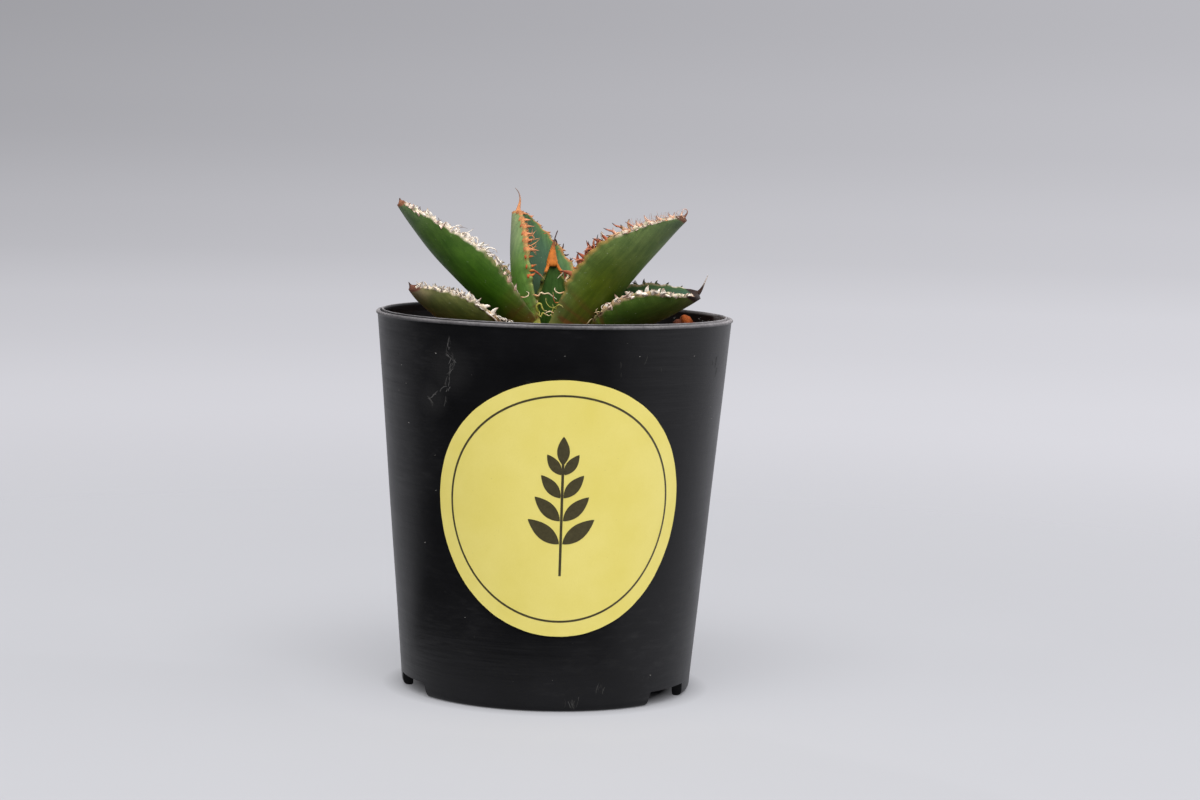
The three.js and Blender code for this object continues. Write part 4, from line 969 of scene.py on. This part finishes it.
def make_soil():
    skin, rnd = Skin(), draw(41)
    clear = wall_radius(SOIL_TOP) - WALL - GAP - 0.1

    def tone():
        x = rnd()
        for rgb, share in EARTH:
            x -= share
            if x <= 0:
                break
        return linear(rgb) * (0.75 + 0.5 * rnd())

    # the plug
    n, radii = 150, np.append(np.linspace(4.7, 36.5, 54), clear - 0.3)
    a = circle(n)
    X, Y = radii[:, None] * np.cos(a), radii[:, None] * np.sin(a)
    lumps = waves(77, 9, 0.02, 0.12)(X, Y) * 0.5 + waves(78, 9, 0.1, 0.3)(X, Y) * 0.35
    Z = soil_level(X, Y) - 0.35 + lumps * 0.7
    low = RECESS + FLOOR + GAP
    side = [(wall_radius(z) - WALL - GAP - 0.1, z) for z in (SOIL_TOP - 1.2, 60, 40, 20, low + 1.7)]
    side += [(wall_radius(low) - WALL - 1.8, low), (0.05, low)]
    v = np.concatenate([np.stack([X, Y, Z], -1)] + [polar(r, a, z)[None] for r, z in side])
    skin.add(v, grid(len(v), n), linear((74, 52, 38)))
    # grains that the solids carry, then finer ones between them
    golden, sizes, start = math.pi * (3 - math.sqrt(5)), draw(5), 0.75 * WELL_RADIUS**2
    for k in range(GRAINS):
        size, share = 1.7 + 1.1 * sizes(), (k + 0.5) / GRAINS
        r = min(math.sqrt(start + share * (clear**2 - start)), clear - size - 0.2)
        v, f = rock(size * 0.97, draw(k + 100), 3)
        z = (WELL_FLOOR + 1 if r < WELL_RADIUS + 1 else SOIL_TOP) + 0.25 * size - 0.45
        skin.add(v + polar(r, k * golden, z), f, tone())
    beside = ((30.2, 15.6, 1.0, 2.8, (104, 56, 38)), (30.2, 16, 3.5, 2.1, (150, 76, 34)), (28.4, 15.2, 3.2, 1.4, (92, 52, 38)),
        (31.7, 14.8, 2.9, 1.2, (118, 62, 36)))
    for x, y, up, size, rgb in beside:
        v, f = rock(size * 1.18, draw(7 if size > 2 else int(x)), 3)
        skin.add(v + [x, y, SOIL_TOP + up], f, linear(rgb))
    for count, small, large, detail in ((260, 1.0, 1.7, 2), (1500, 0.4, 0.95, 1)):
        for k in range(count):
            size = small + (large - small) * rnd() ** 1.6
            r = math.sqrt(5.2**2 + (k + rnd()) / count * ((clear - size) ** 2 - 5.2**2))
            b = k * golden + rnd() * 0.5
            v, f = rock(size, rnd, detail)
            skin.add(v + polar(r, b, soil_level(r, 0) + 0.15 * size + 0.25 * (rnd() - 0.5)), f, tone())
    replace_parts(skin.object("soil_grit", [GRIT], "grit"), "soil")


make_leaves()
make_pot()
make_label()
make_soil()
make_scuffs()
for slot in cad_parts["stem"].material_slots:
    slot.material = STEM


# ---- stage, light and camera ----
# Brightness of the backdrop by height of the line of sight: half of its sine, plus a half.
BACKDROP = ((0.0, 0.67), (0.45, 0.68), (0.466, 0.62), (0.48, 0.53), (0.5, 0.455), (0.52, 0.415), (0.56, 0.4), (0.75, 0.34), (1.0, 0.36))
bpy.context.scene.view_settings.view_transform = "Standard"


def make_floor():
    """Pale floor that fades into the backdrop far off and glows a little but under the pot."""
    skin, n = Skin(), 96
    radii = np.append(0.001, np.geomspace(60, 6000, 26))
    skin.add(polar(radii[:, None], circle(n), 0), grid(len(radii), n), (0.7, 0.7, 0.7))
    p = Paint("floor_paint", Roughness=0.75, Specular_IOR_Level=0.1, Emission_Color=(0.318, 0.32, 0.336, 1))
    far = p.node("ShaderNodeVectorMath", {0: p.node("ShaderNodeTexCoord").outputs["Object"]}, operation="LENGTH").outputs["Value"]
    cloud = p.spread(p.noise(p.place(), 0.01, 3, 0.5), 0.3, 0.7)
    p.set(Base_Color=p.blend(cloud, (0.231, 0.232, 0.244), (0.238, 0.239, 0.251)), Alpha=p.spread(far, 0.1, 0.6, (1, 0), "SMOOTHSTEP"),
        Emission_Strength=p.spread(far, 0.027, 0.037))
    skin.object("floor_sheet", [p.m])


def make_world():
    """Pale backdrop that fades with height and brightens to one side, and the light from the room above."""
    w = bpy.data.worlds.new("studio")
    bpy.context.scene.world = w
    w.use_nodes = True
    g = Nodes(w.node_tree)
    x, _, z = g.node("ShaderNodeSeparateXYZ", {0: g.node("ShaderNodeTexCoord").outputs["Generated"]}).outputs
    ramp = g.node("ShaderNodeValToRGB", {0: g.maths("MULTIPLY_ADD", z, 0.5, 0.5)})
    ramp.color_ramp.interpolation = "EASE"
    while len(ramp.color_ramp.elements) < len(BACKDROP):
        ramp.color_ramp.elements.new(0.5)
    for e, (at, k) in zip(ramp.color_ramp.elements, BACKDROP):
        e.position, e.color = at, (k, k * 0.995, k * 1.06, 1)
    above = g.maths("MINIMUM", g.maths("MAXIMUM", g.maths("MULTIPLY_ADD", z, 10, 1), 0), 1)
    strength = g.maths("MULTIPLY_ADD", x, g.maths("MULTIPLY_ADD", above, 0.6, 0.2), 1)
    g.fill(g.t.nodes["Background"], {"Color": ramp.outputs[0], "Strength": strength})


def softbox(name, where, towards, width, height, power, tone=(1, 1, 1)):
    light = bpy.data.lights.new(name, "AREA")
    light.shape, light.size, light.size_y, light.energy, light.color = "RECTANGLE", width, height, power, tone
    o = bpy.data.objects.new(name, light)
    bpy.context.scene.collection.objects.link(o)
    o.location = where
    o.rotation_mode = "QUATERNION"
    o.rotation_quaternion = (Vector(towards) - Vector(where)).to_track_quat("-Z", "Y")
    o.visible_camera = False
    return o


def flag(name, start, stop, near, far, tall):
    """A black card, bent round the front and laid over the floor there, that only reflections see, as they would a dark room."""
    skin, n = Skin(), 40
    a = np.radians(np.linspace(start, stop, n))
    r, z = np.array([(near, 2), ((near + far) / 2, 2), (far, 2), (far, tall / 2), (far, tall)]).T[..., None]
    skin.add(polar(r, a, z), grid(len(r), n, False), (0, 0, 0))
    p = Paint("flag_cloth", Roughness=1.0, Specular_IOR_Level=0.0)
    p.set(Base_Color=p.blend(p.noise(p.place(), 0.02, 2, 0.5), (0.012, 0.012, 0.012), (0.02, 0.02, 0.02)))
    o = skin.object(name, [p.m])
    o.visible_camera = o.visible_diffuse = o.visible_shadow = o.visible_transmission = False


def make_camera():
    """A camera whose frame's middle is turned away, so that the aim, on the pot's axis, lies at a chosen place in the frame."""
    wide, tall, sensor = 1200, 800, 36
    focal, distance, elevation, roll, aim = 2860.821, 646.674, math.radians(7.58), math.radians(-1.453), 42.0
    aside, below = 549.895 - wide / 2, 499.779 - tall / 2
    ahead = np.array([0, math.cos(elevation), -math.sin(elevation)])
    place = np.array([0, 0, aim]) - distance * ahead
    level = np.array([1.0, 0, 0])
    right, up = spin(level, ahead, roll), spin(np.cross(level, ahead), ahead, roll)
    axis = np.cross(unit(focal * ahead + aside * right - below * up), ahead)
    f, r, u = (spin(k, unit(axis), math.asin(np.linalg.norm(axis))) for k in (ahead, right, up))
    data = bpy.data.cameras.new("camera")
    data.sensor_width, data.lens, data.clip_start, data.clip_end = sensor, focal / wide * sensor, 0.01, 100
    cam = bpy.data.objects.new("camera", data)
    bpy.context.scene.collection.objects.link(cam)
    m = Matrix(np.column_stack([r, u, -f]).tolist()).to_4x4()
    m.translation = Vector(place * MM)
    cam.matrix_world = m
    bpy.context.scene.camera = cam


make_floor()
make_world()
softbox("key_front", (0.0, -0.8, 1.3), (0, 0, 0.03), 1.6, 1.0, 29).visible_glossy = False
softbox("key_right", (1.3, -0.3, 0.6), (0, 0, 0.06), 0.9, 1.3, 4.2)
softbox("key_left", (-1.25, -0.45, 0.6), (0, 0, 0.06), 0.9, 1.2, 3.6)
softbox("top", (0.0, 0.1, 1.5), (0, 0, 0.05), 1.4, 1.4, 3)
flag("flag_front", -190, -48, 60, 1100, 1100)
make_camera()
